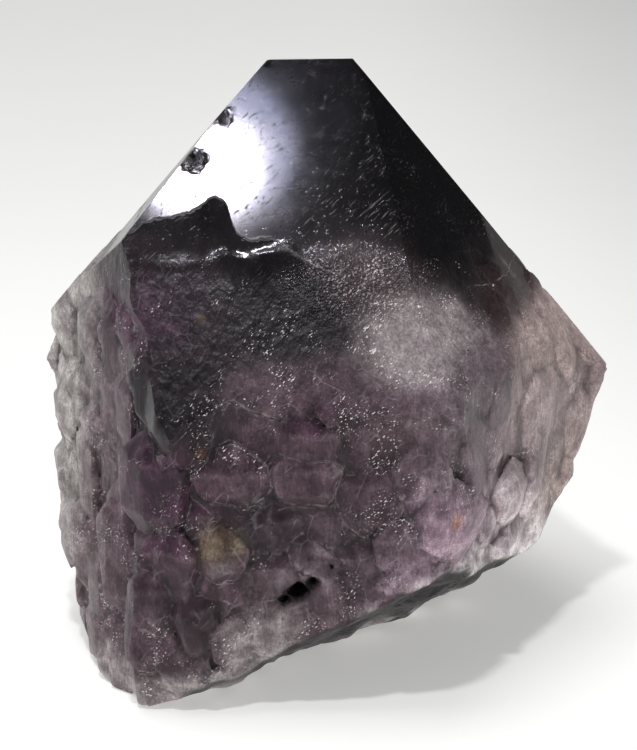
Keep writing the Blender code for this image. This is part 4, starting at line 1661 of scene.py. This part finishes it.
@dataclass
class Studio:
    """Pale floor, soft lights and the camera at the photograph's angle."""

    target: tuple[float, float, float] = (0.0, 0.0, 0.055)
    elevation: float = 20.0
    distance: float = 0.48
    pixels_per_metre: float = 5000.0
    frame: tuple[float, float] = (637.0, 750.0)
    middle: tuple[float, float] = (318.5, 368.415)

    def camera(self) -> bpy.types.Object:
        """The camera, level with the horizon and aimed at the crystal's middle."""
        data = bpy.data.cameras.new("camera")
        data.sensor_width = 36.0
        data.sensor_fit = "AUTO"
        data.lens = self.pixels_per_metre * self.distance / self.frame[1] * data.sensor_width
        data.shift_x = (self.middle[0] - 319.0) / self.frame[1]
        data.shift_y = (self.middle[1] - self.frame[1] / 2) / self.frame[1]
        data.clip_start = 0.01
        data.clip_end = 20.0
        camera = bpy.data.objects.new("camera", data)
        lift = math.radians(self.elevation)
        away = Vector((0.0, -math.cos(lift), math.sin(lift))) * self.distance
        camera.location = Vector(self.target) + away
        camera.rotation_euler = (-away).to_track_quat("-Z", "Y").to_euler()
        bpy.context.scene.collection.objects.link(camera)
        bpy.context.scene.camera = camera
        return camera

    def lamp(
        self,
        name: str,
        place: tuple[float, float, float],
        aim: tuple[float, float, float],
        size: tuple[float, float],
        radiance: float,
        colour: tuple[float, float, float],
        shape: str = "ELLIPSE",
    ) -> bpy.types.Object:
        """A flat light that faces a point.

        Args:
            name: its name.
            place: where its middle is.
            aim: the point it faces.
            size: its width and height.
            radiance: how bright its face is.
            colour: its colour.
            shape: its outline.

        Returns:
            The light.
        """
        data = bpy.data.lights.new(name, "AREA")
        data.shape = shape
        data.size, data.size_y = size
        data.energy = radiance * math.pi * size[0] * size[1]
        data.color = colour
        lamp = bpy.data.objects.new(name, data)
        lamp.location = place
        lamp.rotation_euler = (Vector(aim) - Vector(place)).to_track_quat("-Z", "Y").to_euler()
        bpy.context.scene.collection.objects.link(lamp)
        return lamp

    def floor(self) -> bpy.types.Object:
        """A wide pale floor that glows a little, as an overexposed sheet does. The glow is painted light:
        dimmer in a band in front, to the right behind the crystal, and towards the back.
        """
        half = 3.0
        mesh = bpy.data.meshes.new("floor")
        corner = [(-half, -half, 0), (half, -half, 0), (half, half, 0), (-half, half, 0)]
        mesh.from_pydata(corner, [], [(0, 1, 2, 3)])
        material = bpy.data.materials.new("pale_floor")
        material.use_nodes = True
        shop = Shop(material.node_tree)
        shader = material.node_tree.nodes["Principled BSDF"]
        place = shop.out(shop.node("ShaderNodeTexCoord"), "Object")
        paper = shop.mixed(
            shop.noise(place, 30.0, 3.0), (0.80, 0.80, 0.77, 1.0), (0.83, 0.83, 0.80, 1.0)
        )
        shop.tree.links.new(paper.socket, shader.inputs["Base Color"])
        shader.inputs["Roughness"].default_value = 0.9
        shader.inputs["Specular IOR Level"].default_value = 0.1
        parts = shop.node("ShaderNodeSeparateXYZ", Vector=place)
        across, deep = shop.out(parts, "X"), shop.out(parts, "Y")
        near = shop.step(deep, -0.38, -0.14) + shop.step(deep, -0.45, -0.95) * 0.85
        right = shop.step(across, 0.01, 0.15) * shop.step(deep, -0.05, 0.2)
        back = shop.step(deep, -0.02, 0.40)
        glow = shop.mixed(near, (0.40, 0.40, 0.40, 1.0), (0.90, 0.90, 0.875, 1.0))
        for share in (right * 0.50, back * 0.24):
            glow = shop.mixed(share, glow, (0.0, 0.0, 0.0, 1.0))
        shop.tree.links.new(glow.socket, shader.inputs["Emission Color"])
        shader.inputs["Emission Strength"].default_value = 0.42
        mesh.materials.append(material)
        floor = bpy.data.objects.new("floor", mesh)
        bpy.context.scene.collection.objects.link(floor)
        return floor

    def surroundings(self) -> None:
        """A dim neutral room, brighter near the horizon and to the left than overhead."""
        world = bpy.data.worlds.new("room")
        bpy.context.scene.world = world
        world.use_nodes = True
        shop = Shop(world.node_tree)
        backdrop = world.node_tree.nodes["Background"]
        place = shop.out(shop.node("ShaderNodeTexCoord"), "Generated")
        parts = shop.node("ShaderNodeSeparateXYZ", Vector=place)
        low = shop.step(shop.out(parts, "Z"), 0.55, 0.05)
        left = shop.step(shop.out(parts, "X"), 0.2, -0.7)
        glow = shop.mixed(low, (0.10, 0.10, 0.11, 1.0), (0.52, 0.52, 0.51, 1.0))
        glow = shop.mixed(left * 0.6, glow, (0.95, 0.97, 1.0, 1.0))
        shop.tree.links.new(glow.socket, backdrop.inputs["Color"])
        backdrop.inputs["Strength"].default_value = 1.0

    def build(self) -> None:
        """Sets everything up."""
        self.camera()
        self.floor()
        self.surroundings()
        aim = (0.0, 0.0, 0.06)
        key_colour = (0.99, 0.99, 1.0)
        self.lamp("key", (-0.09, 0.01, 0.92), aim, (0.42, 0.42), 5.4, key_colour, "RECTANGLE")
        self.lamp("bulb", (-0.053, -0.272, 0.650), aim, (0.052, 0.041), 190.0, (1.0, 0.99, 0.97))
        self.lamp("halo", (-0.052, -0.270, 0.665), aim, (0.082, 0.070), 19.0, (0.70, 0.76, 1.0))


def main() -> None:
    """Builds the crystal and its studio."""
    logging.basicConfig(level=logging.INFO, format="%(name)s: %(message)s")
    low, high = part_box(NODE)
    piece = Crystal(tuple(low), tuple(high)).build()
    LOG.info("built %s", piece.name)
    Studio().build()
    bpy.context.scene.view_settings.view_transform = "Standard"


if __name__ == "__main__":
    main()
